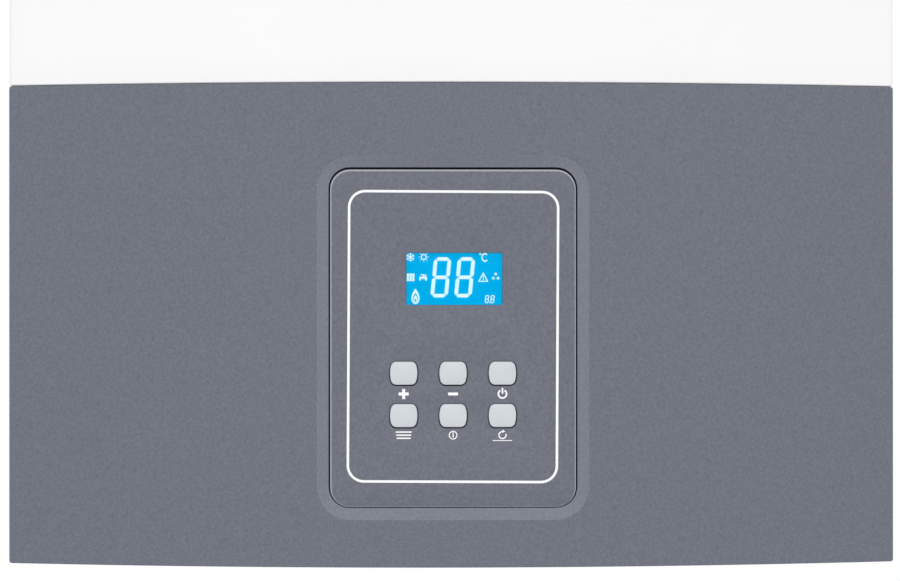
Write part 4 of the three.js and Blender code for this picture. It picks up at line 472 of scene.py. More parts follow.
# The unshaded floor is brought up to the white behind it by a glow that only the camera sees
floorFinish = grainedFinish("studioFloor", (250, 250, 250), (249, 249, 249), (0.8, 0.9), 0, 3, 2, 400, 0.01)
tree = floorFinish.node_tree
seen = addNode(tree, "LightPath", {}, "Is Camera Ray")
lift = addNode(tree, "Math", {0: seen, 1: studio["floorLift"]}, operation="MULTIPLY")
shown = addNode(tree, "Emission", {"Strength": lift})
both = addNode(tree, "AddShader", {0: tree.nodes["Principled BSDF"].outputs["BSDF"], 1: shown})
feed(tree, tree.nodes["Material Output"], {"Surface": both})
floorZ = cadBox[0][2] / mm - studio["floorDrop"]
floorSkin = ringSkin([onAxis("z", circle(r, points=96), floorZ) for r in studio["floorRadii"]], False)
floorMesh = bpy.data.meshes.new("studioFloor")
floorMesh.from_pydata((floorSkin[0] * mm).tolist(), [], floorSkin[1])
floorMesh.materials.append(floorFinish)
floor = bpy.data.objects.new("studioFloor", floorMesh)
scene.collection.objects.link(floor)
print("camera, light and floor set")


# Places that several pieces share, in millimetres
def cornersOf(node):
    low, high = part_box(node)
    return np.array(low) / mm, np.array(high) / mm


coverLow, coverHigh = cornersOf("front_cover")
fasciaLow, fasciaHigh = cornersOf("lower_fascia")
podLow, podHigh = cornersOf("control_pod")
half = coverHigh[0]
crownY = coverLow[1]
bow = 24  # how far the crown stands before the side edges
podCentre = ((podLow + podHigh) / 2)[[0, 2]]
podFace = podLow[1]
hinge = (-312, -662)


def bowedY(x):
    # The front's plan is a parabola from the crown to the side edges.
    return crownY + bow * (x / half) ** 2


def foldLines(low, high, fold, parts):
    # Places of the grid lines from low to high: even angles in the fold at each end, even
    # parts between.
    rise = fold * (1 - np.tan(np.array([45, 30, 15, 0]) * np.pi / 180))
    middle = np.linspace(low + fold, high - fold, parts + 1)[1:-1]
    return np.concatenate([low + rise, middle, (high - rise)[::-1]])


def foldedBox(low, high, folds, lines, openings):
    # Box whose edges are folded: a point of the sharp box is split into its nearest point
    # of the box shrunk by the folds and the way out from there, and the way out is brought
    # to unit length. openings[side](middles) tells which cells of a side are there.
    folds = np.asarray(folds)
    sides = []
    for axis in range(3):
        a, b = [i for i in range(3) if i != axis]
        for end, place in (("low", low[axis]), ("high", high[axis])):
            points = np.empty((len(lines[a]), len(lines[b]), 3))
            points[..., a], points[..., b] = np.meshgrid(lines[a], lines[b], indexing="ij")
            points[..., axis] = place
            sides.append(gridSkin(points, openings.get("xyz"[axis] + end)))
    places, faces = joined(*sides)
    core = np.clip(places, low + folds, high - folds)
    way = (places - core) / folds
    way /= np.maximum(np.linalg.norm(way, axis=1), 1e-9)[:, None]
    return core + way * folds, faces


def bowedDepth(places, front, back, fold):
    # Pushes a box's flat front into the bow: up to the fold's depth a point moves with the
    # bow, and behind that its depth is shared out between the bow and the back.
    depth, start = places[:, 1] - front, bowedY(places[:, 0])
    room = (back - start - fold) / (back - front - fold)
    places[:, 1] = start + np.where(depth <= fold, depth, fold + (depth - fold) * room)
    return places


def walled(piece, thickness):
    shell = piece.modifiers.new("sheet", "SOLIDIFY")
    shell.thickness = thickness * mm
    shell.offset = -1
    shell.use_even_offset = True


# White front cover: one folded tray with a lip all round its open back
coverForm = {
    "folds": (2.4, 1.8, 0.9),
    "lowEdge": 0.96,  # the sheet stands this much further down, towards the fascia
    "lip": 14,
    "sheet": 1.2,
    "parts": (48, 6, 40),
}
folds, lip = coverForm["folds"], coverForm["lip"]
coverLow = coverLow - [0, 0, coverForm["lowEdge"]]
lines = [foldLines(*ends) for ends in zip(coverLow, coverHigh, folds, coverForm["parts"])]
for k in (0, 2):
    lines[k] = np.unique(np.concatenate([lines[k], [coverLow[k] + lip, coverHigh[k] - lip]]))


def onCoverLip(middle):
    inside = (np.abs(middle[:, 0]) < half - lip) & (middle[:, 2] > coverLow[2] + lip)
    return ~(inside & (middle[:, 2] < coverHigh[2] - lip))


places, faces = foldedBox(coverLow, coverHigh, folds, lines, {"yhigh": onCoverLip})
places = bowedDepth(places, coverLow[1], coverHigh[1], folds[1])
cover = addPiece("front_cover_sheet", (places, faces), "white_paint", "front_cover", "cover", smoothAngle=50)
walled(cover, coverForm["sheet"])

# Grey lower fascia: rings that grow from the back of the pod's opening, over its sloped
# band and the bowed front, round the outer edge to the back of the returns
fasciaForm = {
    "opening": (113.2, 155, 9.6),
    "band": 5.4,
    "bandRadius": 13.0,
    "bandRings": (0.08, 0.3, 0.6, 0.85),
    "bandEdge": 0.45,
    "openingDepth": 10,
    "openingEdge": 0.35,
    "sideFold": 1.2,
    "rimFold": 0.3,
    "corner": 1.4,
    "rings": 16,
    "flangeBack": crownY + 28,
    "wall": 2.2,
    "swing": 213.2,
    "heel": 8,
    "armSlot": (97, 101),
    "slotFront": -318,
    "slotStep": 0.02,
    "topDrop": 0.45,  # the moulding ends this much under the part's own edge, as the seam lies low
}
form = fasciaForm
fasciaHigh = fasciaHigh - [0, 0, form["topDrop"]]
fasciaSize = (fasciaHigh - fasciaLow)[[0, 2]]
ringSteps = {"arcSteps": 8, "edgeSteps": 26}


def podOutline(grow, radius=None):
    width, height, corner = fasciaForm["opening"]
    corner = corner + grow if radius is None else radius
    return roundedOutline(width + 2 * grow, height + 2 * grow, corner, **ringSteps) + podCentre


def fasciaOutline(side, rim):
    corner = max(fasciaForm["corner"] - rim, 0.1)
    outline = roundedOutline(fasciaSize[0] - 2 * side, fasciaSize[1] - 2 * rim, corner, **ringSteps)
    return outline + [0, (fasciaLow[2] + fasciaHigh[2]) / 2]


def ringAt(outline, y):
    return onAxis("y", outline, y)


edge = form["openingEdge"]
rings = [ringAt(podOutline(0), podFace + depth) for depth in (form["openingDepth"], edge * 2)]
for turn in np.linspace(0, np.pi / 2, 4):
    rings.append(ringAt(podOutline(edge * (1 - math.cos(turn))), podFace + edge * (1 - math.sin(turn))))
bandOuter = podOutline(form["band"], form["bandRadius"])
bandInner = podOutline(edge)
for share in (*form["bandRings"], 1 - form["bandEdge"] / form["band"]):
    outline = bandInner + (bandOuter - bandInner) * share
    rings.append(ringAt(outline, podFace + (bowedY(bandOuter[:, 0]) - podFace) * share))
sideFold, rimFold = form["sideFold"], form["rimFold"]
outerFlat = fasciaOutline(sideFold, rimFold)
for share in np.concatenate([[0, 0.004], np.linspace(0, 1, form["rings"] + 1)[1:-1], [0.985, 1]]):
    outline = bandOuter + (outerFlat - bandOuter) * share
    rings.append(ringAt(outline, bowedY(outline[:, 0])))
fullOutline = fasciaOutline(0, 0)
atSide = (np.abs(fullOutline[:, 0]) > half - 0.2).astype(float)
fold = rimFold + (sideFold - rimFold) * atSide
for turn in np.linspace(0, np.pi / 2, 5)[1:]:
    outline = fasciaOutline(sideFold * (1 - math.sin(turn)), rimFold * (1 - math.sin(turn)))
    start = bowedY(np.clip(outline[:, 0], -half + sideFold, half - sideFold))
    rings.append(ringAt(outline, start + fold * (1 - math.cos(turn))))
# The side returns end on the swing's circle about the hinge, and below it on the heel
z = fullOutline[:, 1]
sideBack = np.full(len(z), fasciaHigh[1])
swingBack = hinge[0] + np.sqrt(np.maximum(form["swing"] ** 2 - (z - hinge[1]) ** 2, 0))
sideBack = np.where(z > hinge[1], np.minimum(sideBack, swingBack), sideBack)
heel = np.clip((hinge[1] - z) / form["heel"], 0, 1)
sideBack -= form["heel"] * (1 - np.sqrt(1 - heel ** 2))
backY = np.where(atSide > 0.5, np.maximum(sideBack, form["flangeBack"]), form["flangeBack"])
midY = (rings[-1][:, 1] + backY) / 2
# The foot's flange has a slot for each hinge arm: the points nearest to it move to its sides
slotted = fullOutline.copy()
footPoints = np.flatnonzero(z < fasciaLow[2] + 0.01)
inner, outer = form["armSlot"]
for side in (-1, 1):
    away = np.abs(fullOutline[footPoints, 0] - side * (inner + outer) / 2)
    nearest = footPoints[np.argsort(away)[:4]]
    nearest = nearest[np.argsort(fullOutline[nearest, 0] * side)]
    slotted[nearest, 0] = side * np.array([inner - form["slotStep"], inner, outer, outer + form["slotStep"]])
    midY[nearest] = form["slotFront"] - form["slotStep"]
    backY[nearest[1:3]] = form["slotFront"]
rings += [ringAt(slotted, midY), ringAt(slotted, backY)]
fascia = addPiece("lower_fascia_moulding", ringSkin(rings, False, False), "grey_moulding", "lower_fascia",
                  "control_panel", smoothAngle=50, weld=0)
walled(fascia, form["wall"])
# The sloped band round the pod's opening takes a paler, smoother grey. The smoother finish is real; the paler
# tone is painted sheen for the light the band catches
fascia.data.materials.append(grainedFinish(
    "greyBandSheen", (119, 123, 135), (105, 109, 121), (0.42, 0.5), 0, 900, 5, 2400, 0.012))
centres = np.empty(len(fascia.data.polygons) * 3)
fascia.data.polygons.foreach_get("center", centres)
centres = centres.reshape(-1, 3) / mm
width, height, corner = form["opening"]
beyond = np.abs(centres[:, [0, 2]] - podCentre) - (np.array([width, height]) / 2 - corner)
distance = np.linalg.norm(np.maximum(beyond, 0), axis=1) - corner
inBand = (distance > 0.2) & (distance < form["band"] - 0.2) & (centres[:, 1] < podFace + 0.2)
fascia.data.polygons.foreach_set("material_index", inBand.astype(np.int32))
print("cover and fascia built")

# Control pod: a flat plate with the window and six keys let into it, and a skirt behind
podForm = {
    "corner": 9.1,
    "plate": 3.0,
    "skirtWall": 2.0,
    "edge": 0.42,
    "sag": 0.3,  # the plate lies this much low in its opening
    "windowSize": (43.9, 23.8),
    "windowPlace": (0.6, 26.7),
    "windowCorner": 0.9,
}
keyForm = {
    "size": (10.3, 10.6),
    "bulge": 1.15,
    "corner": 1.7,
    "gap": 0.36,
    "gapShift": (0.04, -0.18),
    "crown": 0.7,
    "edge": 0.55,
    "rise": 0.28,
    "capDepth": 0.9,
    "brim": (7.7, 6.5, 0.3, 1.2),  # half width and height, gap behind the plate, thickness
    "stem": (3.2, 2.6, 0.9),
}
keyNames = ["key_plus", "key_minus", "key_power", "key_menu", "key_info", "key_reset"]
keyPlaces = {name: (sum(cornersOf(name)) / 2)[[0, 2]] + [0, keyForm["rise"]] for name in keyNames}


def keyOutline(grow):
    (width, height), corner = keyForm["size"], keyForm["corner"] + grow
    return roundedOutline(width + 2 * grow, height + 2 * grow, corner, 6, 6, keyForm["bulge"])


podSize = (podHigh - podLow)[[0, 2]]
plateCentre = podCentre - [0, podForm["sag"]]
plateBack = podFace + podForm["plate"]
plateOutline = roundedOutline(*podSize, podForm["corner"], 10) + plateCentre
windowCentre = podCentre + podForm["windowPlace"]
holes = [roundedOutline(*podForm["windowSize"], podForm["windowCorner"], 4) + windowCentre]
holes += [keyOutline(keyForm["gap"]) + place + keyForm["gapShift"] for place in keyPlaces.values()]
plate = flatPlate([plateOutline] + holes, "y", podFace, plateBack, podForm["edge"])
wall = podForm["skirtWall"]
skirtInner = roundedOutline(*(podSize - 2 * wall), podForm["corner"] - wall, 10) + plateCentre
skirt = ringSkin([ringAt(plateOutline, plateBack), ringAt(plateOutline, podHigh[1]),
                  ringAt(skirtInner, podHigh[1]), ringAt(skirtInner, plateBack)], wrap=True)
podFinish = grainedFinish("podMoulding", (108, 112, 123.5), (92, 96, 107.5), (0.5, 0.6), 0, 900, 6, 2400,
                          0.03)
addPiece("control_pod_plate", [plate, skirt], "grey_moulding", "control_pod", "control_panel", podFinish, 35)

# Brims and stems behind the keys are near black: painted shade, so the gaps round the keys read dark
stemShadeFinish = grainedFinish("keyStem", (44, 46, 50), (38, 40, 44), (0.55, 0.65), 0, 300, 3, 1800, 0.01)
for name, (x, z) in keyPlaces.items():
    low, high = cornersOf(name)
    crown, edge = keyForm["crown"], keyForm["edge"]
    rings = [ringAt(keyOutline(-edge) * share, low[1] + crown * share ** 2.2)
             for share in (0.02, 0.2, 0.4, 0.6, 0.8, 0.94)]
    for turn in np.linspace(0, np.pi / 2, 5):
        depth = crown + edge * (1 - math.cos(turn))
        rings.append(ringAt(keyOutline(-(edge * (1 - math.sin(turn)))), low[1] + depth))
    rings.append(ringAt(keyOutline(0), plateBack + keyForm["capDepth"]))
    wide, tall, gap, thick = keyForm["brim"]
    front = plateBack + gap
    brim = softBlock((x - wide, front, z - tall), (x + wide, front + thick, z + tall), 0.2, 1.2)
    wide, tall, depth = keyForm["stem"]
    stem = softBlock((x - wide, front + depth, z - tall), (x + wide, high[1], z + tall), 0.2, 0.6)
    addPiece(name + "_cap", moved(ringSkin(rings), (x, 0, z)), "key_rubber", name, name)
    addPiece(name + "_stem", [brim, stem], "key_rubber", name, name, stemShadeFinish)
print("pod and keys built")


# Printed marks: thin flat forms that stand a few hundredths proud of what they are on
proud = 0.04


def flatMark(outline, face):
    return ringSkin([ringAt(outline, face - proud), ringAt(outline, face + proud)])


def ringMark(outer, inner, face):
    return ringSkin([ringAt(outer, face - proud), ringAt(outer, face + proud),
                     ringAt(inner, face + proud), ringAt(inner, face - proud)], wrap=True)


def strip(start, end, width):
    # Straight stroke between two places.
    start, end = np.asarray(start, float), np.asarray(end, float)
    along = (end - start) / np.linalg.norm(end - start)
    across = np.array([-along[1], along[0]]) * width / 2
    return np.array([start - across, end - across, end + across, start + across])


def openRing(radius, width, gapAngle, turn=90, points=40):
    # Stroke round a circle that leaves a gap of that angle at the turn.
    angle = np.radians(turn + np.linspace(gapAngle / 2, 360 - gapAngle / 2, points))
    spoke = np.stack([np.cos(angle), np.sin(angle)], -1)
    return np.concatenate([spoke * (radius + width / 2), (spoke * (radius - width / 2))[::-1]])


def turnedMark(outline, degrees):
    a = math.radians(degrees)
    return outline @ np.array([[math.cos(a), math.sin(a)], [-math.sin(a), math.cos(a)]])


def segment(middle, length, stroke, upright):
    # Figure stroke with pointed ends.
    l, t = length / 2, stroke / 2
    outline = np.array([(-l, 0), (t - l, -t), (l - t, -t), (l, 0), (l - t, t), (t - l, t)])
    return (outline[:, ::-1] * [1, -1] if upright else outline) + middle


def figureEight(centre, size, stroke, slant, gap):
    # Seven strokes of a figure 8, leaned over by the slant.
    w, h = size[0] / 2 - stroke / 2, size[1] / 2 - stroke / 2
    strokes = [segment((0, v), 2 * w - gap, stroke, False) for v in (h, 0, -h)]
    strokes += [segment((u, v), h - gap, stroke, True) for u in (-w, w) for v in (h / 2, -h / 2)]
    return [s + np.stack([s[:, 1] * slant, 0 * s[:, 1]], -1) + centre for s in strokes]


def flameOutline(width, height, points=40):
    # Drop: a full round foot that narrows to a point at the top.
    t = np.linspace(0, 2 * np.pi, points, endpoint=False)
    rise = (1 - np.cos(t)) / 2
    across = np.sin(t) * (1 - rise ** 2) ** 0.6 * 0.86
    return np.stack([across * width / 2 * 1.25, (rise - 0.5) * height], -1)


# Display: blue lit panel in a holder, its signs and figures in white, and a clear pane.
# A sign is given by its place and size, and the parts of a sign as shares of its size.
displayForm = {
    "paneEdge": 0.2,
    "panel": 0.8,
    "rise": 0.3,
    "panelInset": 1.7,
    "slant": 0.1,
    "digits": (((8.0, 18.4), 1.7, 0.3, ((-6.1, 0.75), (4.75, 0.75))),
               ((1.75, 3.7), 0.42, 0.05, ((14.9, -9.2), (17.4, -9.2)))),
    "point": (0.22, (16.1, -10.9), 12),
    "snow": (-20.0, 9.9, 1.95),
    "sun": (-13.9, 10.0, 2.1),
    "degree": (11.9, 11.3, 0.5),
    "celsius": (14.0, 9.8, 1.5),
    "radiator": (-19.9, 0.75, 3.5, 3.5),
    "tap": (-14.1, 0.7),
    "tapStrokes": (((-1.7, -0.1), (1.3, -0.1), 1.0), ((-1.45, -1.4), (-1.45, 0.2), 0.8),
                   ((-1.2, 1.35), (1.5, 0.95), 0.5), ((0.1, 0.1), (0.1, 1.2), 0.6),
                   ((1.2, -1.4), (1.2, 0.4), 0.9)),
    "warning": (13.2, 0.85, 4.7),
    "blades": (18.9, 1.0, 1.25),
    "flame": (-17.7, -7.9, 3.9, 7.2),
    "flameRings": ((1, 0, 0.66, 0.1), (0.5, 0.16, 0.22, 0.24)),  # size and drop, outside and inside
}
form = displayForm
moduleLow, moduleHigh = cornersOf("display_module")
displayCentre = (sum(cornersOf("display_module")) / 2)[[0, 2]] + [0, form["rise"]]
face = moduleLow[1]

signs = []
for size, stroke, gap, digitPlaces in form["digits"]:
    for place in digitPlaces:
        signs += figureEight(place, size, stroke, form["slant"], gap)
signs.append(circle(*form["point"]))
x, z, width, height = form["flame"]
flame = flameOutline(width, height)
hollowSigns = [(flame * outside + (x, z - height * drop), flame * inside + (x, z - height * innerDrop))
               for outside, drop, inside, innerDrop in form["flameRings"]]
x, z, reach = form["snow"]
for degrees in (30, 90, 150):
    signs.append(turnedMark(strip((-reach, 0), (reach, 0), 0.42), degrees) + (x, z))
for degrees in range(30, 390, 60):
    for lean in (-1, 1):
        branch = strip((reach * 0.56, 0), (reach * 0.86, lean * reach * 0.36), 0.24)
        signs.append(turnedMark(branch, degrees) + (x, z))
x, z, reach = form["sun"]
for degrees in range(0, 360, 45):
    signs.append(turnedMark(strip((reach * 0.72, 0), (reach * 1.08, 0), 0.28), degrees) + (x, z))
hollowSigns.append((circle(reach * 0.62, (x, z)), circle(reach * 0.42, (x, z))))
x, z, reach = form["degree"]
hollowSigns.append((circle(reach, (x, z), 20), circle(reach * 0.5, (x, z), 20)))
x, z, reach = form["celsius"]
signs.append(openRing(reach, 0.58, 84, 0) * (0.88, 1.12) + (x, z))
x, z, width, height = form["radiator"]
for column in x + np.array([-0.36, 0, 0.36]) * width:
    signs.append(strip((column, z - height / 2), (column, z + height / 2), width * 0.27))
for row in z + np.array([-0.4, 0.4]) * height:
    signs.append(strip((x - width / 2, row), (x + width / 2, row), 0.3))
signs += [strip(*stroke) + form["tap"] for stroke in form["tapStrokes"]]
x, z, size = form["warning"]
signs += [strip((x, z + 0.9), (x, z - 0.65), 0.42), circle(0.27, (x, z - 1.2), 12)]
triangle = np.array([(-size / 2, -size * 0.45), (size / 2, -size * 0.45), (0, size * 0.48)])
hollowSigns.append((triangle + (x, z), triangle * 0.7 - (0, size * 0.045) + (x, z)))
x, z, reach = form["blades"]
for degrees in (90, 210, 330):
    middle = turnedMark(np.array([[reach, 0]]), degrees)[0] + (x, z)
    signs += [turnedMark(strip((-0.7, 0), (0.7, 0), 0.28), turn) + middle for turn in (0, 60, 120)]
marks = [flatMark(outline + displayCentre, face) for outline in signs]
marks += [ringMark(outer + displayCentre, inner + displayCentre, face) for outer, inner in hollowSigns]


def litFinish(name, first, second, glow, strength):
    material = grainedFinish(name, first, second, (0.4, 0.5), 0, 300, 2, 2000, 0.0005)
    feed(material.node_tree, material.node_tree.nodes["Principled BSDF"], {
        "Emission Color": linear(glow), "Emission Strength": strength, "Specular IOR Level": 0})
    return material


panelFinish = litFinish("litPanel", (0, 118, 160), (0, 112, 156), (0, 158, 212), 0.78)
signFinish = litFinish("litSigns", (100, 128, 140), (96, 124, 136), (220, 250, 255), 0.82)
addPiece("display_signs", marks, "display_blue", "display_module", "control_panel", signFinish, 30, 0)
inset, rise = form["panelInset"], form["rise"]
stepLow = moduleLow + [inset, 0, inset + rise]
stepHigh = moduleHigh - [inset, 0, inset - rise]
stepHigh[1] = face + form["panel"]
addPiece("display_panel", softBlock(stepLow, stepHigh, 0.1, 0.6), "display_blue", "display_module",
         "control_panel", panelFinish)
holderLow = moduleLow.copy()
holderLow[1] = plateBack + 0.3
collarLow, collarHigh = stepLow + [0.15, form["panel"], 0.15], stepHigh - [0.15, 0, 0.15]
collarHigh[1] = holderLow[1] + 0.5
holder = [softBlock(holderLow, moduleHigh, 0.4, 1.5), softBlock(collarLow, collarHigh, 0.1, 0.5)]
addPiece("display_holder", holder, "display_blue", "display_module", "control_panel",
         finishes["black_plastic"])

paneFinish, tree, shader = newFinish("clearPane", (252, 254, 255), 0.03)
feed(tree, shader, {"Transmission Weight": 1, "Specular IOR Level": 0.2, "IOR": 1.06,
                    "Roughness": spread(tree, noiseOn(tree, objectPlaces(tree), 60), 0.02, 0.05)})
paneLow, paneHigh = (corner + [0, 0, rise] for corner in cornersOf("display_window"))
pane = softBlock(paneLow, paneHigh, form["paneEdge"], 0.8)
addPiece("display_pane", pane, "clear_window", "display_window", "control_panel", paneFinish)

# Painted highlight just within the plate's rim: a paler grey ring where the rounded edge catches the light
# from above, broadest along its top
rimHighlightForm = {
    "inset": 0.28,
    "top": 0.7,
    "left": 0.45,
    "right": 0.3,
    "bottom": 0.1,
}
form = rimHighlightForm
outerSize = podSize - 2 * form["inset"]
innerSize = outerSize - [form["left"] + form["right"], form["top"] + form["bottom"]]
corner = podForm["corner"] - form["inset"]
shift = np.array([form["left"] - form["right"], form["bottom"] - form["top"]]) / 2
highlightOuter = roundedOutline(*outerSize, corner, 10) + plateCentre
highlightInner = roundedOutline(*innerSize, corner - form["left"], 10) + plateCentre + shift
highlightFinish = grainedFinish("podLip", (172, 175, 182), (164, 167, 174), (0.45, 0.55), 0, 900, 6, 2400, 0.02)
# The ring of painted highlight, laid on the plate's face
lip = ringMark(highlightOuter, highlightInner, podFace)
addPiece("pod_lip", lip, "grey_moulding", (), "control_panel", highlightFinish, 30, 0)

# White line printed round the pod, and a sign under each key
printForm = {
    "line": (95.2, 132.15, 7.3),
    "lineRise": 0.42,
    "lineLean": 0.3,
    "lineWidth": 1.15,
    "upperDrop": 9.45,
    "lowerDrop": 8.9,
    "plus": (4.6, 1.36),
    "minus": (4.55, 1.3),
    "power": (1.86, 0.76),
    "menu": ((3.6, 1.4), (3.4, 0), (3.2, -1.4)),
    "arrow": ((-0.1, 0.95), (1.25, 1.6), (0, 2.5)),
}
form = printForm
width, height, corner = form["line"]
rims = [turnedMark(roundedOutline(width + 2 * grow, height + 2 * grow, corner + grow, 10), -form["lineLean"])
        + (podCentre + [0, form["lineRise"]]) for grow in (form["lineWidth"] / 2, -form["lineWidth"] / 2)]
marks = [ringMark(*rims, podFace)]
size, stroke = form["plus"]
arm = np.array([(stroke, -stroke), (size, -stroke), (size, stroke)]) / 2
radius, width = form["power"]
signs = {
    "key_plus": [np.concatenate([turnedMark(arm, 90 * i) for i in range(4)])],
    "key_minus": [roundedOutline(*form["minus"], 0.15, 2)],
    "key_power": [openRing(radius, width, 62), strip((0, 0.1), (0, 2.7), 0.75)],
    "key_menu": [strip((-reach, z), (reach, z), 0.62) for reach, z in form["menu"]],
    "key_info": [openRing(1.75, 0.45, 0.01), strip((0, -0.95), (0, 0.35), 0.55), circle(0.34, (0, 0.95), 14)],
    "key_reset": [openRing(1.6, 0.55, 80, 60), np.array(form["arrow"]),
                  strip((-4.4, -2.5), (4.4, -2.5), 0.35)],
}
for name, outlines in signs.items():
    drop = form["upperDrop"] if name in keyNames[:3] else form["lowerDrop"]
    marks += [flatMark(outline + (keyPlaces[name] - (0, drop)), podFace) for outline in outlines]
printFinish = grainedFinish("whitePrint", (250, 251, 252), (244, 245, 248), (0.4, 0.5), 0, 500, 4, 2400,
                            0.004)
addPiece("pod_print", marks, "white_paint", (), "control_panel", printFinish, 30, 0)
print("display and print built")


# What repeats all over the inside. A piece's settings name each of its forms, as the
# function that makes it and what that is given.
def built(form):
    skins = []
    for make, *given in form.values():
        made = make(*given)
        skins += made if isinstance(made, list) else [made]
    return skins


def repeated(make, axis, centres, *given):
    return [make(axis, centre, *given) for centre in centres]


def blocks(rows):
    return [softBlock(*row) for row in rows]


def nut(axis, centre, across, start, end, edge=0.7):
    # Hexagon by its width across the flats, its corners turned off at both ends by a
    # shallow cone.
    stations = [(0.93, start), (1, start + edge), (1, end - edge), (0.93, end)]
    outline = circle(across / 2 / math.cos(math.pi / 6), points=6)
    return ringSkin([onAxis(axis, outline * share, place) + np.asarray(centre, float)
                     for share, place in stations])


def screwHead(axis, centre, radius, face, out):
    # Pan head: a low dome with a small round recess.
    rise, sunk = radius * 0.62, face - out * 0.5
    dome = [(radius * math.cos(a), face + out * rise * math.sin(a) * 0.9)
            for a in np.linspace(0, np.pi / 2, 5)[:-1]]
    recess = face + out * rise * 0.35
    profile = [(0, sunk), (radius, sunk), *dome, (radius * 0.32, face + out * rise * 0.9),
               (radius * 0.26, recess), (0, recess)]
    return turnedSkin(axis, centre, profile, 20)


def screwRing(axis, centre, reach, degrees, radius, face, out):
    # Screws round a centre, the reach one value or one for each angle.
    turn = np.radians(degrees)
    spokes = np.stack([reach * np.cos(turn), reach * np.sin(turn)], -1)
    return repeated(screwHead, axis, onAxis(axis, spokes, 0) + centre, radius, face, out)


def flutedSkin(axis, centre, flutes, rows, points=6):
    # Rings (radius, place, depth) whose radius waves once for each flute.
    angle = np.linspace(0, 2 * np.pi, flutes * points, endpoint=False)
    wave = np.cos(flutes * angle)
    spokes = circle(1, points=flutes * points)
    return ringSkin([onAxis(axis, spokes * (r * (1 - depth + depth * wave))[:, None], place) + centre
                     for r, place, depth in rows])


def ribbedSkin(centre, ribs, rows, points=8):
    # Rings (place, root, top) whose radius steps out to the top on the middle of each rib.
    share = (np.arange(ribs * points) % points) / points
    step = np.clip(np.sin(share * np.pi) * 3 - 1.2, 0, 1)
    spokes = circle(1, points=ribs * points)
    return ringSkin([onAxis("y", spokes * (root + (top - root) * step)[:, None], y) + centre
                     for y, root, top in rows])


def pressedBead(axis, low, high, rim, flatness, place, sides):
    # Bar that ends in steps (radius, distance from its end), pressed flat and put in place.
    profile = [(r, low + s) for r, s in rim] + [(r, high - s) for r, s in rim[::-1]]
    return moved(turnedSkin(axis, (0, 0, 0), profile, sides), place, [1, flatness, 1])


# Coaxial flue outlet on the top: flanged collar with its screws, and the gas tube in it
flueForm = {
    "wall": 1.5,
    "socket": {"outer": 50, "flange": 63, "bead": 1.1, "beadDrop": 9, "rim": 0.5, "sides": 96},
    "gasTube": {"outer": 30, "flange": 37, "bead": 0.8, "beadDrop": 6, "rim": 0.3, "sides": 80},
    "screws": {"reach": 56.5, "degrees": (45, 135, 225, 315), "radius": 3.2, "out": 1},
}
collarLow, collarHigh = cornersOf("flue_collar")
tubeLow, tubeHigh = cornersOf("flue_inner_tube")
flueCentre = (collarLow + collarHigh) / 2 * [1, 1, 0]


def beadedTube(low, high, outer, flange, bead, beadDrop, rim, sides):
    # Socket: flange, round root, a raised bead, a rolled lip, and back down inside.
    wall, middle = flueForm["wall"], high - beadDrop
    ring = [(outer + bead * math.sin(a), middle - bead * math.cos(a)) for a in np.linspace(0, np.pi, 7)]
    return turnedSkin("z", flueCentre, [
        (flange, low), (flange, low + wall), (outer + 2, low + wall), (outer + 0.6, low + wall + 0.5),
        (outer, low + wall + 2), *ring, (outer, high - 2.5), (outer + rim, high - 1.2),
        (outer + rim * 0.7, high), (outer - wall, high), (outer - wall, low), (flange, low)], sides)


collar = beadedTube(collarLow[2], collarHigh[2], **flueForm["socket"])
screws = screwRing("z", flueCentre, face=collarLow[2] + flueForm["wall"], **flueForm["screws"])
addPiece("flue_collar_socket", [collar] + screws, "cast_aluminium", "flue_collar")
tube = beadedTube(tubeLow[2], tubeHigh[2], **flueForm["gasTube"])
addPiece("flue_gas_tube", tube, "cast_aluminium", "flue_inner_tube")

# Screws and pressed beads on the chassis: top panel and rear frame
topZ, rearY = cornersOf("top_panel")[1][2], cornersOf("rear_frame")[1][1]
casingForm = {
    "row": (repeated, screwHead, "z", [(x, -8, 0) for x in (-190, -95, 95, 190)], 3.0, topZ, 1),
    "sides": (repeated, screwHead, "z", [(x, y, 0) for x in (-190, 190) for y in (-90, -180, -262)],
              3.0, topZ, 1),
}
addPiece("casing_screws", built(casingForm), "galvanised")
rearForm = {
    "beadX": (-160, 160),
    "beadRuns": ((-630, -360), (-330, -60)),
    "beadRim": ((0.2, 0), (4.2, 0.8), (6.4, 4), (7, 9)),
    "flatness": 0.36,
    "sunk": 0.4,
    "screws": [(x, 0, -635) for x in (-100, 0, 100)],
}
form = rearForm
beads = [pressedBead("z", *run, form["beadRim"], form["flatness"], [x, rearY - form["sunk"], 0], 28)
         for x in form["beadX"] for run in form["beadRuns"]]
addPiece("rear_beads", beads + repeated(screwHead, "y", form["screws"], 3.0, rearY, 1), "galvanised")
print("flue and casing details built")


# Water and gas ways: drawn tubes with long bends, union nuts and collars
def bentTube(run, radius, bends):
    return tubeSkin(roundedPath(run, bends, 10), radius, 28)


def union(centre, across, low, high):
    # Hexagon with a turned collar under it.
    return [nut("z", centre, across, low, high), rod("z", centre, across / 2 * 0.86, low - 2.2, low + 0.5)]


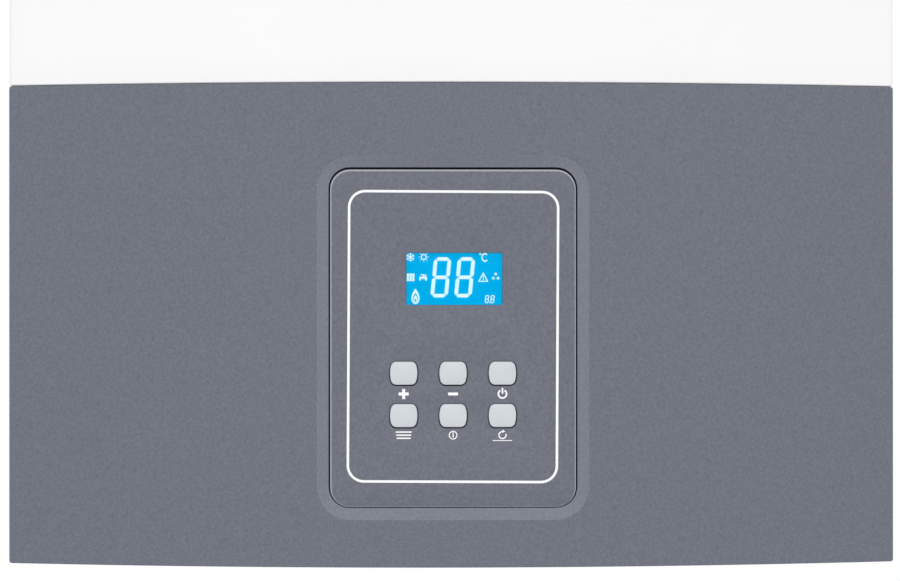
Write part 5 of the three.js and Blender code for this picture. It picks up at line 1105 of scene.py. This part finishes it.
flowTubeForm = {
    "tube": (bentTube, [(-161.3, -241.5, -145), (-178, -241.5, -145), (-178, -241.5, -348.1),
                        (-130, -96, -398.1), (-130, -96, -519.7)], 9.0, [15, 24, 24]),
    "collar": (rod, "x", (0, -241.5, -145), 12.2, -166.5, -161.5, 36, 0.6),
    "union": (union, (-130, -96, 0), 23, -519.6, -507),
}
returnTubeForm = {
    "tube": (bentTube, [(161.3, -131.5, -145), (178, -131.5, -145), (178, -131.5, -348.1),
                        (130, -96, -398.1), (130, -96, -509.7)], 9.0, [15, 24, 24]),
    "collar": (rod, "x", (0, -131.5, -145), 12.2, 161.5, 166.5, 36, 0.6),
    "union": (union, (130, -96, 0), 23, -509.6, -497),
}
vesselTubeForm = {
    "tube": (bentTube, [(0, -57, -302.3), (0, -57, -351.6), (73, -96, -351.6), (73, -96, -560)], 5.0, 14),
    "upperNut": (nut, "z", (0, -57, 0), 14, -314, -303),
    "lowerNut": (nut, "z", (73, -96, 0), 14, -559.8, -548.8),
}
gasTubeForm = {
    "tube": (bentTube, [(0, -150, -533.7), (0, -150, -403.1), (0, -285.5, -403.1), (0, -285.5, -319.9)],
             7.5, 22),
    "nut": (nut, "z", (0, -150, 0), 19, -533.6, -521.6),
    "collar": (solid, "z", (0, -285.5, 0), [
        (9.3, -333, 0.8), (9.3, -320.2, 0.4)]),
}
addPiece("flow_tube", built(flowTubeForm), "copper", "flow_pipe")
addPiece("return_tube", built(returnTubeForm), "copper", "return_pipe")
addPiece("vessel_tube", built(vesselTubeForm), "copper", "vessel_pipe")
addPiece("gas_tube", built(gasTubeForm), "yellow_tube", "gas_burner_pipe")

# Connections under the floor: threaded stubs, hexagons above them
stubForm = {
    "end": -684,
    "shoulder": -664.5,
    "depth": 30,
    "pitch": 1.8,
    "threadDepth": 0.75,
    "hex": (25.98, -656.4, -648.6),
}


def stub(centre, radius, bore, high):
    # Pipe end: open below, its thread a triangle wave of the pitch up to the shoulder, then
    # plain up to the body.
    end, shoulder, pitch = stubForm["end"], stubForm["shoulder"], stubForm["pitch"]
    root, bottom = radius - stubForm["threadDepth"], end + stubForm["depth"]
    places = np.arange(end + pitch, shoulder, pitch / 2)
    ridge = np.where(np.arange(len(places)) % 2, root, radius)
    profile = [(bore, end), (root, end), *zip(ridge, places), (radius, places[-1] + pitch / 2),
               (radius, shoulder), (radius, high), (0, high), (0, bottom), (bore, bottom), (bore, end)]
    return [turnedSkin("z", centre, profile, 40), nut("z", centre, *stubForm["hex"])]


def barrel(centre, low, high, radius=20, ring=1.6, end=6):
    # Cast barrel: beads at both ends, softened edges.
    return solid("z", centre, [
        (radius, low, 1.2), (radius, low + end, 0.6), (radius - ring, low + end, 0.8),
        (radius - ring, high - end, 0.8), (radius, high - end, 0.6), (radius, high, 1.2)], 56)


gasStubForm = {
    "stub": (stub, (0, -150, 0), 10.0, 7.5, -606),
    "nut": (nut, "z", (0, -150, 0), 29.4, -606.3, -600.5, 0.5),
}
addPiece("gas_stub", built(gasStubForm), "yellow_tube", "gas_inlet_pipe")

# Castings of the water ways: barrel, arms to the plate exchanger, diverter and fill valve
flowForm = {
    "barrel": (barrel, (-130, -96, 0), -640, -521),
    "heatingStub": (stub, (-130, -96, 0), 11.0, 8.5, -630),
    "waterStub": (stub, (-65, -96, 0), 11.0, 8.5, -630),
    "foot": (softBlock, (-130, -106.3, -640), (-49.6, -78.3, -610), 1.6, 6),
    "arm": (softBlock, (-130, -102, -586), (-62, -78.3, -566), 1.6, 5),
    "diverter": (solid, "y", (-130, 0, -552), [
        (12, -125.8, .8), (12, -121, .4), (10.6, -121, .4), (10.6, -96, 0)], 40),
    "ports": (repeated, rod, "y", [(-80, 0, -577), (-80, 0, -625)], 11, -84, -76.2),
    "pins": (repeated, solid, "y", [(-100, 0, -632), (-60, 0, -618), (-118, 0, -576)],
             [(4.2, -107.6, 0.8), (4.2, -101, 0)], 24, 2),
}
returnForm = {
    "barrel": (barrel, (130, -96, 0), -640, -595.3),
    "heatingStub": (stub, (130, -96, 0), 11.0, 8.5, -630),
    "waterStub": (stub, (65, -96, 0), 11.0, 8.5, -630),
    "foot": (softBlock, (49.6, -106.3, -640), (130, -78.3, -610), 1.6, 6),
    "arm": (softBlock, (65, -98.3, -640), (81, -78.3, -566), 1.6, 4),
    "fillArm": (softBlock, (90, -118.3, -640), (106, -104, -624), 1.4, 4),
    "fillValve": (solid, "z", (98, -118.3, 0), [
        (6.4, -658.8, 0.6), (6.4, -650, 0.3), (8, -650, 0.6), (8, -624.2, 0.8)],
        32, 2),
    "fillPipe": (turnedSkin, "z", (73, -96, 0), [(0, -588), (5.5, -586), (5.5, -560.4), (0, -560.4)], 28),
    "fillNut": (nut, "z", (73, -96, 0), 13, -584, -576),
    "ports": (repeated, rod, "y", [(80, 0, -577), (80, 0, -625)], 11, -84, -76.2),
}
addPiece("flow_casting", built(flowForm), "brass", "flow_block")
addPiece("return_casting", built(returnForm), "brass", "return_block")
print("tubes and castings built")

# Pump: cast volute with its ports, and a ribbed motor can on the front
pumpAxis = (130, 0, -554)
pumpForm = {
    "volute": (solid, "y", pumpAxis, [
        (26, -74.2, 4), (36, -84, 6), (36, -108, 1), (39.4, -110, .8), (39.4, -118, .8)], 72, 4),
    "neck": (solid, "z", (130, -96, 0), [
        (16.5, -594.6, .8), (16.5, -588, .6), (14, -586, 1), (14, -520, 1), (16.5, -518, .6),
        (16.5, -510.1, .8)], 48),
    "screws": (screwRing, "y", pumpAxis, 35.5, (45, 135, 225, 315), 2.6, -109.8, 1),
    "link": (tubeSkin, [(130, -96, -540), (180, -96, -540)], 7, 28),
    "vent": (solid, "z", (180, -96, 0), [
        (8, -561, 1), (11.9, -555, 2), (11.9, -527, 1), (9, -524, 1), (9, -520.1, .4)], 44),
}
canForm = {
    "ribs": (ribbedSkin, pumpAxis, 24, (
        (-118.3, 37, 37), (-124, 38.5, 38.5), (-128, 38.5, 38.8), (-130, 38.5, 40.8), (-176, 38.5, 40.8),
        (-179, 38.5, 38.7), (-184, 37.5, 37.5), (-188.4, 34.5, 34.5), (-190, 30.5, 30.5), (-190, 12, 12))),
    "cap": (solid, "y", pumpAxis, [
        (9, -189, 0), (9, -192.2, .8), (3, -192.2, .3), (3, -190.8, .2)], 36, 2),
}
addPiece("pump_casting", built(pumpForm), "brass", "pump_housing")
addPiece("pump_can", built(canForm), "black_plastic", "pump_motor", smoothAngle=32)

# Small controls of the water group
knobForm = {
    "fluted": (flutedSkin, "z", (98, -118.3, 0), 10, (
        (11.2, -661.4, .01), (12.9, -662.6, .035), (12.9, -672.6, .035), (12, -675.2, .035),
        (9, -675.2, .035))),
    "stem": (rod, "z", (98, -118.3, 0), 3, -662, -632.7, 24),
    "mark": (softBlock, (97.2, -127.2, -675.25), (98.8, -121, -675.0), 0.1, 0.4),
}
safetyForm = {
    "body": (solid, "y", (72, 0, -625), [
        (8.8, -106.7, .4), (8.8, -114.1, .6), (10.9, -115.2, .6), (10.9, -133, 1), (9.2, -136.5, .8)], 44),
    "nut": (nut, "y", (72, 0, -625), 18.4, -113.6, -107.2),
    "drain": (solid, "z", (72, -121.6, 0), [
        (6, -625, 0), (6, -640.9, .5), (4.4, -640.9, .3), (4.4, -634, .2)], 32, 2),
}
safetyKnobForm = {
    "lobed": (flutedSkin, "y", (72, 0, -625), 8, (
        (12.2, -137.0, .01), (13.6, -138.4, .05), (13.9, -144, .06), (13.6, -150.4, .06), (12, -152.6, .05),
        (8, -152.8, .02)), 8),
    "stem": (rod, "y", (72, 0, -625), 4, -132.95, -138, 24),
}
addPiece("filling_knob_fluted", built(knobForm), "blue_plastic", "filling_tap_knob", "filling_knob")
addPiece("safety_valve_body", built(safetyForm), "brass", "safety_valve")
addPiece("valve_knob_lobed", built(safetyKnobForm), "red_plastic", "safety_valve_knob", "valve_knob")


def ribsRound(centre, count, low, high, edge, shrink):
    # One soft rib turned round Z for each of the count.
    places, faces = softBlock(low, high, edge)
    around = [np.append(turnedMark(places[:, :2], 360 / count * k), places[:, 2:], 1) for k in range(count)]
    return [moved((turned, faces), centre, [shrink, shrink, 1]) for turned in around]


ventForm = {
    "cap": (turnedSkin, "z", (180, -96, 0), [
        (8.6, -519.7, 0), (10, -519.7, .4), (10, -513, 1), (6, -511.6, .6), (6, -508, .8), (0, -508, 0)], 48),
    "ribs": (ribsRound, (180, -96, 0), 18, (-0.5, -10.0, -519), (0.5, -9.2, -513.4), 0.2, .985),
}
sensorForm = {
    "nut": (nut, "y", (-72, 0, -625), 13.6, -112.5, -106.7, 0.4),
    "body": (turnedSkin, "y", (-72, 0, -625), [
        (0, -106.7, 0), (6.8, -112, .4), (6.8, -122, .6), (4.8, -124, .6), (4.8, -132.5, .3),
        (3.8, -132.5, .2), (3.8, -126, .2), (0, -126, 0)], 36, 2),
    "blade": (softBlock, (-72.5, -131, -628.6), (-71.5, -124, -621.4), 0.15),
}
actuatorForm = {
    "can": (solid, "y", (-130, 0, -552), [
        (12, -126.4, .4), (12.5, -134, 2), (18.9, -138, 2), (18.9, -166, 1), (17.5, -172.2, 1.6)], 56, 4),
    "lines": (repeated, turnedSkin, "y", [(-130, y, -552) for y in (-146, -150, -154, -158)],
              [(18.4, 0), (18.98, 0.4), (18.98, 1.2), (18.4, 1.6)], 56),
    "plug": (softBlock, (-136, -171, -567), (-124, -160, -564), 0.5),
}
addPiece("vent_cap_ribbed", built(ventForm), "black_plastic", "air_vent_cap", "vent_cap")
addPiece("sensor_body", built(sensorForm), "black_plastic", "pressure_sensor")
addPiece("actuator_cap", built(actuatorForm), "black_plastic", "diverter_actuator")
print("pump and controls built")


# Gas valve: machined block with coil cans, pressure taps, an adjuster and pipe necks
def valveSide(side):
    coil, tap = (side * 16, 0, -558), (side * 24, 0, -587)
    ridges = [(coil[0], y, coil[2]) for y in (-180, -199)]
    return [
        solid("y", coil, [
            (13, -172, .4), (13, -176.5, .8), (12.2, -176.5, .4), (12.2, -203, .4), (10.5, -206, 1.2),
            (4, -206, .4), (4, -204.8, .2)], 44),
        *repeated(turnedSkin, "y", ridges, [(12, 0), (12.7, .5), (12.7, 1.5), (12, 2)], 44),
        solid("y", tap, [(3.5, -174, 0), (3.5, -182.7, .5), (1.6, -182.7, .2), (1.6, -180, .2)], 24, 2),
        *repeated(screwHead, "y", [(side * 26, 0, -594), (side * 26, 0, -540)], 2.4, -172.6, -1)]


valveForm = {
    "block": (softBlock, (-31, -172.5, -600), (31, -125, -534), 1.6, 5),
    "plate": (softBlock, (-27, -175, -595), (27, -169, -556), 0.8, 3),
    "left": (valveSide, -1),
    "right": (valveSide, 1),
    "adjuster": (solid, "y", (0, 0, -587), [
        (9, -174, .3), (9, -179, .6), (7, -179.6, .4), (7, -182.8, .6), (2.6, -182.8, .2),
        (2.6, -181, .2)], 40),
    "lowerNeck": (rod, "z", (0, -150, 0), 13.5, -599, -599.95, 40),
    "upperNeck": (rod, "z", (0, -150, 0), 13.5, -535, -534.05, 40),
}
addPiece("gas_valve_block", built(valveForm), "cast_aluminium", "gas_valve")


# Plate exchanger: pressed plates between two end plates, with four ports
def pressedPlates(low, high, corner, plates, end, wave):
    # Rings along Y: an end plate's rim (depth, inset), a wave (share of the pitch, inset) for
    # each plate, and the other end plate.
    low, high = np.array(low, float), np.array(high, float)
    middle, size = (low + high) / 2, high - low
    pitch = (size[1] - 2 * end[-1][0]) / plates
    stations = [(low[1] + depth, inset) for depth, inset in end]
    stations += [(low[1] + end[-1][0] + pitch * k + pitch * share, inset)
                 for k in range(plates) for share, inset in wave]
    stations += [(high[1] - depth, inset) for depth, inset in end[::-1]]
    return ringSkin([ringAt(roundedOutline(size[0] - 2 * inset, size[2] - 2 * inset, corner - inset, 6)
                            + middle[[0, 2]], y) for y, inset in stations])


plateForm = {
    "plates": (pressedPlates, (-96, -72, -642), (96, -30, -562), 10, 12,
               ((0, .8), (.5, .1), (3, .1), (3.2, 1.3)), ((.2, 1.3), (.42, .35), (.58, .35), (.8, 1.3))),
    "ports": (repeated, solid, "y", [(x, 0, z) for x in (-80, 80) for z in (-577, -625)], [
        (11.5, -71, 0), (11.5, -74, .6), (9, -75, .6), (9, -78, .2)], 40),
    "label": (softBlock, (-52, -72.7, -614), (52, -71.5, -590), 0.5, 5),
}
addPiece("plate_pack", built(plateForm), "stainless", "plate_exchanger")


# Expansion vessel: two pressed halves held by a rolled seam, valve nipple and stud
def vesselShell(centre, radius, middle, halfDepth, seam, seamHalf):
    # Half section: a super-ellipse, (r/R)^2.6 + (y/h)^2.6 = 1
    power = 2 / 2.6
    section = [(radius * math.cos(a) ** power, halfDepth * math.sin(a) ** power)
               for a in np.linspace(0, np.pi / 2, 14)[:-1]] + [(0, halfDepth)]
    section = [(r, depth) for r, depth in section if depth > seamHalf]
    seam = np.array(seam, float)
    profile = [(r, middle + depth) for r, depth in section[::-1]]
    profile += [tuple(p) for p in roundedProfile(seam[:, :2], seam[:, 2], 4)]
    return turnedSkin("y", centre, profile + [(r, middle - depth) for r, depth in section], 120)


vesselForm = {
    "shell": (vesselShell, (0, 0, -130), 154.9, -57, 39.9,
              [(153.9, -53, 0), (157.9, -53, 1.4), (157.9, -61, 1.4), (153.9, -61, 0)], 4.2),
    "stud": (turnedSkin, "y", (0, 0, -130), [
        (0, -16.5, 0), (22, -17.6, .4), (22, -16.6, .4), (15, -15.4, .4), (15, -13.6, .6), (0, -13.6, 0)],
        48, 2),
    "nipple": (rod, "z", (0, -57, 0), 5.5, -284, -301.9, 28),
    "nut": (nut, "z", (0, -57, 0), 17, -294, -286.5),
    "valve": (turnedSkin, "y", (0, 0, -130), [
        (0, -95.5, 0), (7, -95.9, .3), (7, -96.6, .3), (0, -96.9, 0)], 28, 2),
}
addPiece("vessel_shell", built(vesselForm), "red_enamel", "expansion_vessel", smoothAngle=34)
print("valve, plates and vessel built")

# Air pressure switch: flat can with a clamped rim and its rivets, and a barbed spout
rivetPlaces = onAxis("x", circle(24.2, (-131.5, 3.3), 6), 0)
switchForm = {
    "can": (solid, "x", (0, -131.5, 3.3), [
        (21.5, 80.4, 1.4), (21.5, 88.8, .4), (26.8, 89.8, .4), (26.8, 91.8, .3), (25.6, 92, .1),
        (25.6, 92.8, .1), (26.8, 93, .3), (26.8, 95.0, .4), (21.6, 96, .4), (20, 104.2, 1.2),
        (8, 104.2, .4), (8, 102.8, .2)], 64),
    "spout": (solid, "x", (0, -145, 3.3), [
        (3, 100, 0), (3, 112, .4), (2.2, 116.2, .4)], 24, 2),
    "barbs": (repeated, turnedSkin, "x", [(106.5, -145, 3.3), (109.5, -145, 3.3)],
              [(2.2, 0), (3.0, 1), (3.0, 1.4), (2.2, 1.5)], 24),
    "rivets": (repeated, turnedSkin, "x", rivetPlaces, [(0, 94), (1.7, 94), (1.7, 95.9), (0, 96.0)], 16),
}
addPiece("pressure_switch_can", built(switchForm), "black_plastic", "air_pressure_switch")

# Fan: motor can with ribs and an end cap, and screws round the scroll that follow its line in
fanAxis = (-43, 0, -28.7)
fanForm = {
    "ribs": (ribbedSkin, fanAxis, 20, (
        (-212.2, 34.6, 34.6), (-214.6, 34.6, 34.6), (-215, 33.5, 33.5), (-217, 33.5, 34.9),
        (-235, 33.5, 34.9), (-237, 33.5, 33.5), (-238.7, 32.9, 32.9), (-242.5, 31.4, 31.4),
        (-244.3, 28.6, 28.6), (-244.4, 16, 16))),
    "cap": (turnedSkin, "y", fanAxis, [
        (15.5, -244.3, 0), (14, -245.2, .4), (13.8, -249.6, .8), (9, -250, .3), (9, -248.8, .2),
        (0, -248.8, 0)], 44),
    "screws": (screwRing, "y", fanAxis, 22, (30, 150, 270), 2.4, -244.2, -1),
}
addPiece("fan_motor_can", built(fanForm), "black_plastic", "fan_motor", smoothAngle=32)
turns = np.array([75, 130, 185, 240, 295, 350])
reach = 62 - 26 * np.minimum((60 - turns) % 360 / 300, 1)
addPiece("fan_screws", screwRing("y", fanAxis, reach, turns, 2.4, -211.7, -1), "galvanised")
print("switch and fan built")

# Burner: eight blades with slotted decks between two rails, on a folded base
bladeForm = {
    "places": [(k - 3.5) * 32.5 for k in range(8)],
    "throatZ": -311.6,
    # Half section from the foot up: a round belly, a waist and a flat deck
    "section": [(4.6, -325.4), (6.6, -322), (7.6, -316), (7.6, -308), (6.2, -302), (4.0, -298), (4.0, -294),
                (7.4, -290.5), (7.9, -288.5), (7.9, -286.4), (7.3, -285.9)],
    "ends": ((-265.4, .93), (-264.4, 1), (-108.6, 1), (-107.6, .93)),
    "slotY": np.linspace(-254.4, -118.6, 19),
    "throat": [(7.2, -260), (7.2, -265.3), (6.2, -265.45), (4.5, -265.4), (4.5, -256)],
}


def blade(x):
    section = np.array(bladeForm["section"])
    outline = np.concatenate([section, (section * [-1, 1])[::-1]])
    slots = [((x - 5.6, y - 1.1, -286.1), (x + 5.6, y + 1.1, -285.5), 0.15) for y in bladeForm["slotY"]]
    return [ringSkin([ringAt(outline * [grow, 1] + [x, 0], y) for y, grow in bladeForm["ends"]]),
            *blocks(slots), turnedSkin("y", (x, 0, bladeForm["throatZ"]), bladeForm["throat"], 32)]


baseForm = {
    "rails": (blocks, [((-129.9, y, low), (129.9, y + 1.6, high), 0.3) for y in (-265.4, -109.2)
                        for low, high in ((-284, -275.7), (-325.5, -316.5))]),
    "ends": (blocks, [((x, -265.4, -325.5), (x + 1.6, -107.6, -275.7), 0.3) for x in (-129.9, 128.3)]),
    "screws": (repeated, screwHead, "y", [(x, 0, -280) for x in (-113.75, -16.25, 16.25, 113.75)],
               2.2, -265.2, -0.4),
}
blades = [skin for x in bladeForm["places"] for skin in blade(x)]
addPiece("burner_blades", blades + built(baseForm), "stainless", "burner")


# Manifold: a soft bar with plugs, bosses and an injector for each blade
def injector(x):
    centre = (x, 0, bladeForm["throatZ"])
    return [solid("y", centre, [(4.6, -291, .2), (4.6, -293.4, .4)], 6, 2),
            nut("y", centre, 9.4, -277.8, -273.6, 0.3),
            turnedSkin("y", centre, [(0, -275, 0), (3.1, -275, 0), (3.1, -268.6, .4), (1.4, -267.6, .3),
                                     (0.8, -267.6, .1), (0.8, -269, 0)], 28)]


manifoldParts = [softBlock((-125.7, -292.7, -319.5), (125.7, -277.6, -303.7), 1.4, 3)]
manifoldParts += [skin for x in bladeForm["places"] for skin in injector(x)]
manifoldParts.append(rod("z", (0, -285.5, 0), 7.6, -305, -303.65, 32))
addPiece("manifold_bar", manifoldParts, "cast_aluminium", "gas_manifold")

# Sight glass and electrodes on the chamber's front, and the hood's screws
glassPlace = (62, 0, -241.3)
addPiece("sight_glass_ring", solid("y", glassPlace, [
    (10.6, -272, .3), (11.2, -274.6, .5), (14.6, -274.6, .8), (14.6, -271.6, .2)],
    56), "cast_aluminium")
addPiece("sight_glass_pane", turnedSkin("y", glassPlace, [
    (0, -273.1, 0), (10.8, -272.6, .4), (10.8, -266, .3), (0, -266, 0)], 48), "sight_glass", "sight_glass")
electrodeForm = {
    "places": (-22, 22),
    "z": -253.3,
    "ceramic": [(0, -279.6, 0), (6, -279.6, .8), (6, -272.4, .6), (4.1, -271.6, .3), (3.5, -271, .3),
                (3.5, -240, .6), (2.4, -237, .6), (0, -237, 0)],
    "ribbed": [(0, -287.7), (2.6, -287.7), (3.3, -286.8)]
              + [(r, y + step) for y in (-286.2, -284.4, -282.6)
                 for r, step in ((3.5, 0), (3.5, .9), (2.8, 1.2), (2.8, 1.6))] + [(3.5, -279.7), (0, -279.7)],
    "wire": ((0, -240, -253.3), (0, -230, -253.3), (0, -221.9, -254.5)),
}
form = electrodeForm
electrodeParts, wireParts = [], []
for x in form["places"]:
    electrodeParts += [turnedSkin("y", (x, 0, form["z"]), form[part], 32) for part in ("ceramic", "ribbed")]
    wireParts += [tubeSkin(roundedPath(np.array(form["wire"]) + [x, 0, 0], 3, 5), 1.15, 14),
                  softBlock((x - 5, -273.6, -258.8), (x + 5, -271.6, -247.8), 0.4, 2),
                  screwHead("y", (x, 0, -258.0), 1.6, -273.4, -1)]
addPiece("electrode_ceramics", electrodeParts, "ceramic", "electrode_pair")
addPiece("electrode_wires", wireParts, "galvanised")
hoodForm = {
    "front": (repeated, screwHead, "y", [(x, 0, z) for x in np.linspace(-110, 110, 5) for z in (-193, -268)],
              2.6, cornersOf("combustion_chamber")[0][1] + 0.3, -1),
    "jacket": (repeated, screwHead, "y", [(x, 0, z) for z in (-112, -178) for x in (-126, 126)],
               2.4, -271.3, -1),
}
addPiece("hood_screws", built(hoodForm), "galvanised")

# Water tube of the heat exchanger: three passes with return bends, its ferrules and fins
passes = (-131.5, -186.5, -241.5)
coilForm = {
    "tube": (tubeSkin, roundedPath([
        (161, passes[0], -145), (-160.475, passes[0], -145), (-160.475, passes[1], -145),
        (160.475, passes[1], -145), (160.475, passes[2], -145), (-161, passes[2], -145)], 26.95, 12),
        7.95, 32),
    "ferrules": (repeated, turnedSkin, "x", [(x, y, -145) for x in (-136.5, 135) for y in passes],
                 [(7.9, 0), (10.2, .3), (10.2, 1.2), (7.9, 1.5)]),
    "fins": (blocks, [((x - 0.2, -269.9, -177.9), (x + 0.2, -103.1, -112.1), 0.02)
                       for x in np.linspace(-131.5, 131.5, 74)]),
}
addPiece("exchanger_coil", built(coilForm), "copper", "heat_exchanger")
print("burner and exchanger built")

# Fan scroll: two plates and a band between them, wound outward from the tongue to the outlet
scrollForm = {
    "front": -211.8,
    "back": -161.8,
    "wall": 1.5,
    "tongue": 40,
    "mouth": 66,
    "sweep": 300,
    "throat": 20,
    "top": 45.3,
    "eye": 27,
    "shaft": 8,
    "ring": [(36.6, -211.5), (38.2, -211.8), (38.2, -212.05), (35.2, -212.05), (35.2, -211.5),
             (36.6, -211.5)],
}
form = scrollForm
fanCentre = (fanAxis[0], fanAxis[2])


def scrollLine(inset):
    # Radius grows evenly with the angle: r = tongue + (mouth - tongue) (1 - turn / sweep)
    share = np.linspace(0, 1, 96)
    mouth, top = scrollForm["mouth"], scrollForm["top"] - fanCentre[1]
    r = mouth - (mouth - scrollForm["tongue"]) * share - inset
    angle = np.radians(-scrollForm["sweep"] * share)
    line = np.stack([r * np.cos(angle), r * np.sin(angle)], -1)
    return np.concatenate([[[mouth - inset, top]], line, [[scrollForm["throat"] + inset, top]]]) + fanCentre


front, back, wall = form["front"], form["back"], form["wall"]
outer, inner = scrollLine(0), scrollLine(wall)
addPiece("fan_scroll", [
    flatPlate([outer, circle(form["shaft"], fanCentre)], "y", front, front + wall, 0.5),
    flatPlate([outer, circle(form["eye"], fanCentre, 64)], "y", back - wall, back, 0.3),
    flatPlate([np.concatenate([outer, inner[::-1]])], "y", front + 0.6, back - 0.4, 0.05),
    turnedSkin("y", fanAxis, form["ring"], 64)], "cast_aluminium", "fan_housing", smoothAngle=30)

# Rubber grommets where the pipes pass the floor of the air box, and beads on the jacket
grommetForm = {
    "pipes": (((-130, -96, 0), 9), ((130, -96, 0), 9), ((0, -150, 0), 7.5), ((73, -96, 0), 5)),
    "profile": ((0.1, -446), (2.2, -446.4), (4.2, -445.4), (4.6, -443.2), (4.6, -441.8), (4.0, -439.8),
                (2, -438.6), (0.1, -439), (0.1, -446)),
}
addPiece("pipe_grommets", [
    turnedSkin("z", place, [(radius + grow, z) for grow, z in grommetForm["profile"]], 40)
    for place, radius in grommetForm["pipes"]], "black_plastic")
addPiece("jacket_beads", [
    pressedBead("x", -112, 112, ((0.2, 0), (1.8, 1), (2.6, 6)), 0.55, [0, y, z], 20)
    for y in (-271.3, -101.7) for z in (-122, -168)], "copper")

# Control box: moulded tray with softened edges, and a lid with vent slots and screws
boxForm = {
    "size": (170, 175),
    "centre": (0, -557.5),
    "back": -244,
    "front": -300,
    "wall": 2.5,
    "corner": 4,
    "soft": 1.4,
    "ribs": [(x, z) for x in (-84.4, 84.4) for z in (-620, -590, -525, -495)],
    "lidBack": -241.2,
    "lidFront": -243.7,
    "lipFront": -250,
    "slots": [(k * 7.4, z) for k in np.arange(14) - 6.5 for z in (-500, -615)],
    "slot": (2.4, 26, 1.15, 4),
    "screws": [(x, 0, z) for x in (-76, 76) for z in (-636, -557.5, -479)],
}
form = boxForm


def boxOutline(inset):
    width, height = boxForm["size"]
    corner = max(boxForm["corner"] - inset, 1)
    return roundedOutline(width - 2 * inset, height - 2 * inset, corner, 6) + boxForm["centre"]


wall, soft, front, back = form["wall"], form["soft"], form["front"], form["back"]
stations = [(wall, front + wall), (wall, back - 0.5), (wall - 0.4, back), (0.4, back), (0, back - 0.5)]
stations += [(soft * (1 - math.cos(turn)), front + soft * (1 - math.sin(turn)))
             for turn in np.linspace(0, np.pi / 2, 5)]
trayRibs = blocks([((x - 0.5, -296, z - 1), (x + 0.5, -247, z + 1), 0.4) for x, z in form["ribs"]])
addPiece("control_box_tray", [ringSkin([ringAt(boxOutline(inset), y) for inset, y in stations])] + trayRibs,
         "grey_plastic", "control_box", "control_panel")
slots = [roundedOutline(*form["slot"]) + place for place in form["slots"]]
lidFront, lidBack = form["lidFront"], form["lidBack"]
addPiece("control_box_cover", [
    flatPlate([boxOutline(0)] + slots, "y", lidFront, lidBack, 0.6),
    flatPlate([boxOutline(wall + 0.3), boxOutline(wall + 2)], "y", form["lipFront"], lidFront + 0.2, 0.1),
    softBlock((-40, lidBack - 0.2, -576), (40, lidBack + 0.5, -539), 0.3, 3)],
    "grey_plastic", "control_box_lid", "control_panel")
addPiece("control_box_screws", repeated(screwHead, "y", form["screws"], 2.8, lidBack, 1), "galvanised", (),
         "control_panel")

# What the moulding carries behind: hinge ears at its foot and bosses for the control box
mountForm = {
    "ears": ((-104, -101), (101, 104)),
    "earFront": 102.5,
    "radius": 7.4,
    "hole": 3.3,
    "bosses": [(-76, -625), (-76, -485), (76, -625), (76, -485)],
    "boss": [(4, -300.4, .4), (1.5, -300.4, .2), (1.5, -306, 0)],
    "ribs": ((7, 0.7), (0.7, 7)),
    "ribDepth": 9,
    "sink": 1.5,
}
form = mountForm
earFront, bossFront = (bowedY(x) + form["sink"] for x in (form["earFront"], 76.0))
ribBack = bossFront + form["ribDepth"]
radius = form["radius"]
angle = np.radians(np.linspace(-90, 90, 17))
ear = np.stack([hinge[0] + radius * np.cos(angle), hinge[1] + radius * np.sin(angle)], -1)
ear = np.concatenate([[[earFront, hinge[1] - radius]], ear, [[earFront, hinge[1] + radius + 6]]])
mountParts = [flatPlate([ear, circle(form["hole"], hinge, 28)], "x", *ends, 0.4) for ends in form["ears"]]
for x, z in form["bosses"]:
    mountParts.append(solid("y", (x, 0, z), [(4.6, bossFront, 0), *form["boss"]], 28, 2))
    mountParts += blocks([((x - wide, bossFront, z - tall), (x + wide, ribBack, z + tall), 0.2)
                           for wide, tall in form["ribs"]])
addPiece("fascia_mounts", mountParts, "grey_moulding", "lower_fascia", "control_panel")
print("scroll, box and mounts built")

# Side panels: folded sheet with a rounded front edge, notched where floor and top panel pass
sideForm = {
    "gauge": 1.2,
    "fold": 2.2,
    "lip": 14,
    "front": -276.4,
    "back": -2.0,
    "run": (-667, 68.5),
    "rearFlange": (-14.7, -13.5),
    "frontRuns": ((-667, -443.4), (-428.8, 53.0)),
    "rearRuns": ((-667, -443.4), (-441.6, 66.7)),
    "flat": 0.4,
}
form = sideForm
gauge, fold, front, back = form["gauge"], form["fold"], form["front"], form["back"]
lipEnd = half - form["lip"]


def foldArc(radius):
    turn = np.linspace(0, np.pi / 2, 6)
    return np.stack([half - fold + radius * np.cos(turn), front + fold - radius * np.sin(turn)], -1)


def lipOutline(start, low, high):
    return np.array([[start, low], [lipEnd, low], [lipEnd, high], [start, high]])


# A line of points close beside each arc keeps the shading of the flat sheet even
nearFold = front + fold + form["flat"]
sheet = np.concatenate([[[half, back], [half, nearFold]], foldArc(fold), foldArc(fold - gauge)[::-1],
                        [[half - gauge, nearFold], [half - gauge, back]]])
lips = ((lipOutline(half - fold + 0.05, front, front + gauge), form["frontRuns"]),
        (lipOutline(half - 0.5, *form["rearFlange"]), form["rearRuns"]))
for name, side in (("left", -1), ("right", 1)):
    skins = [flatPlate([sheet * [side, 1]], "z", *form["run"])]
    skins += [flatPlate([outline * [side, 1]], "z", *run) for outline, runs in lips for run in runs]
    addPiece("side_sheet_" + name, skins, "white_paint", "side_panel_" + name, smoothAngle=30)
print("side panels built")
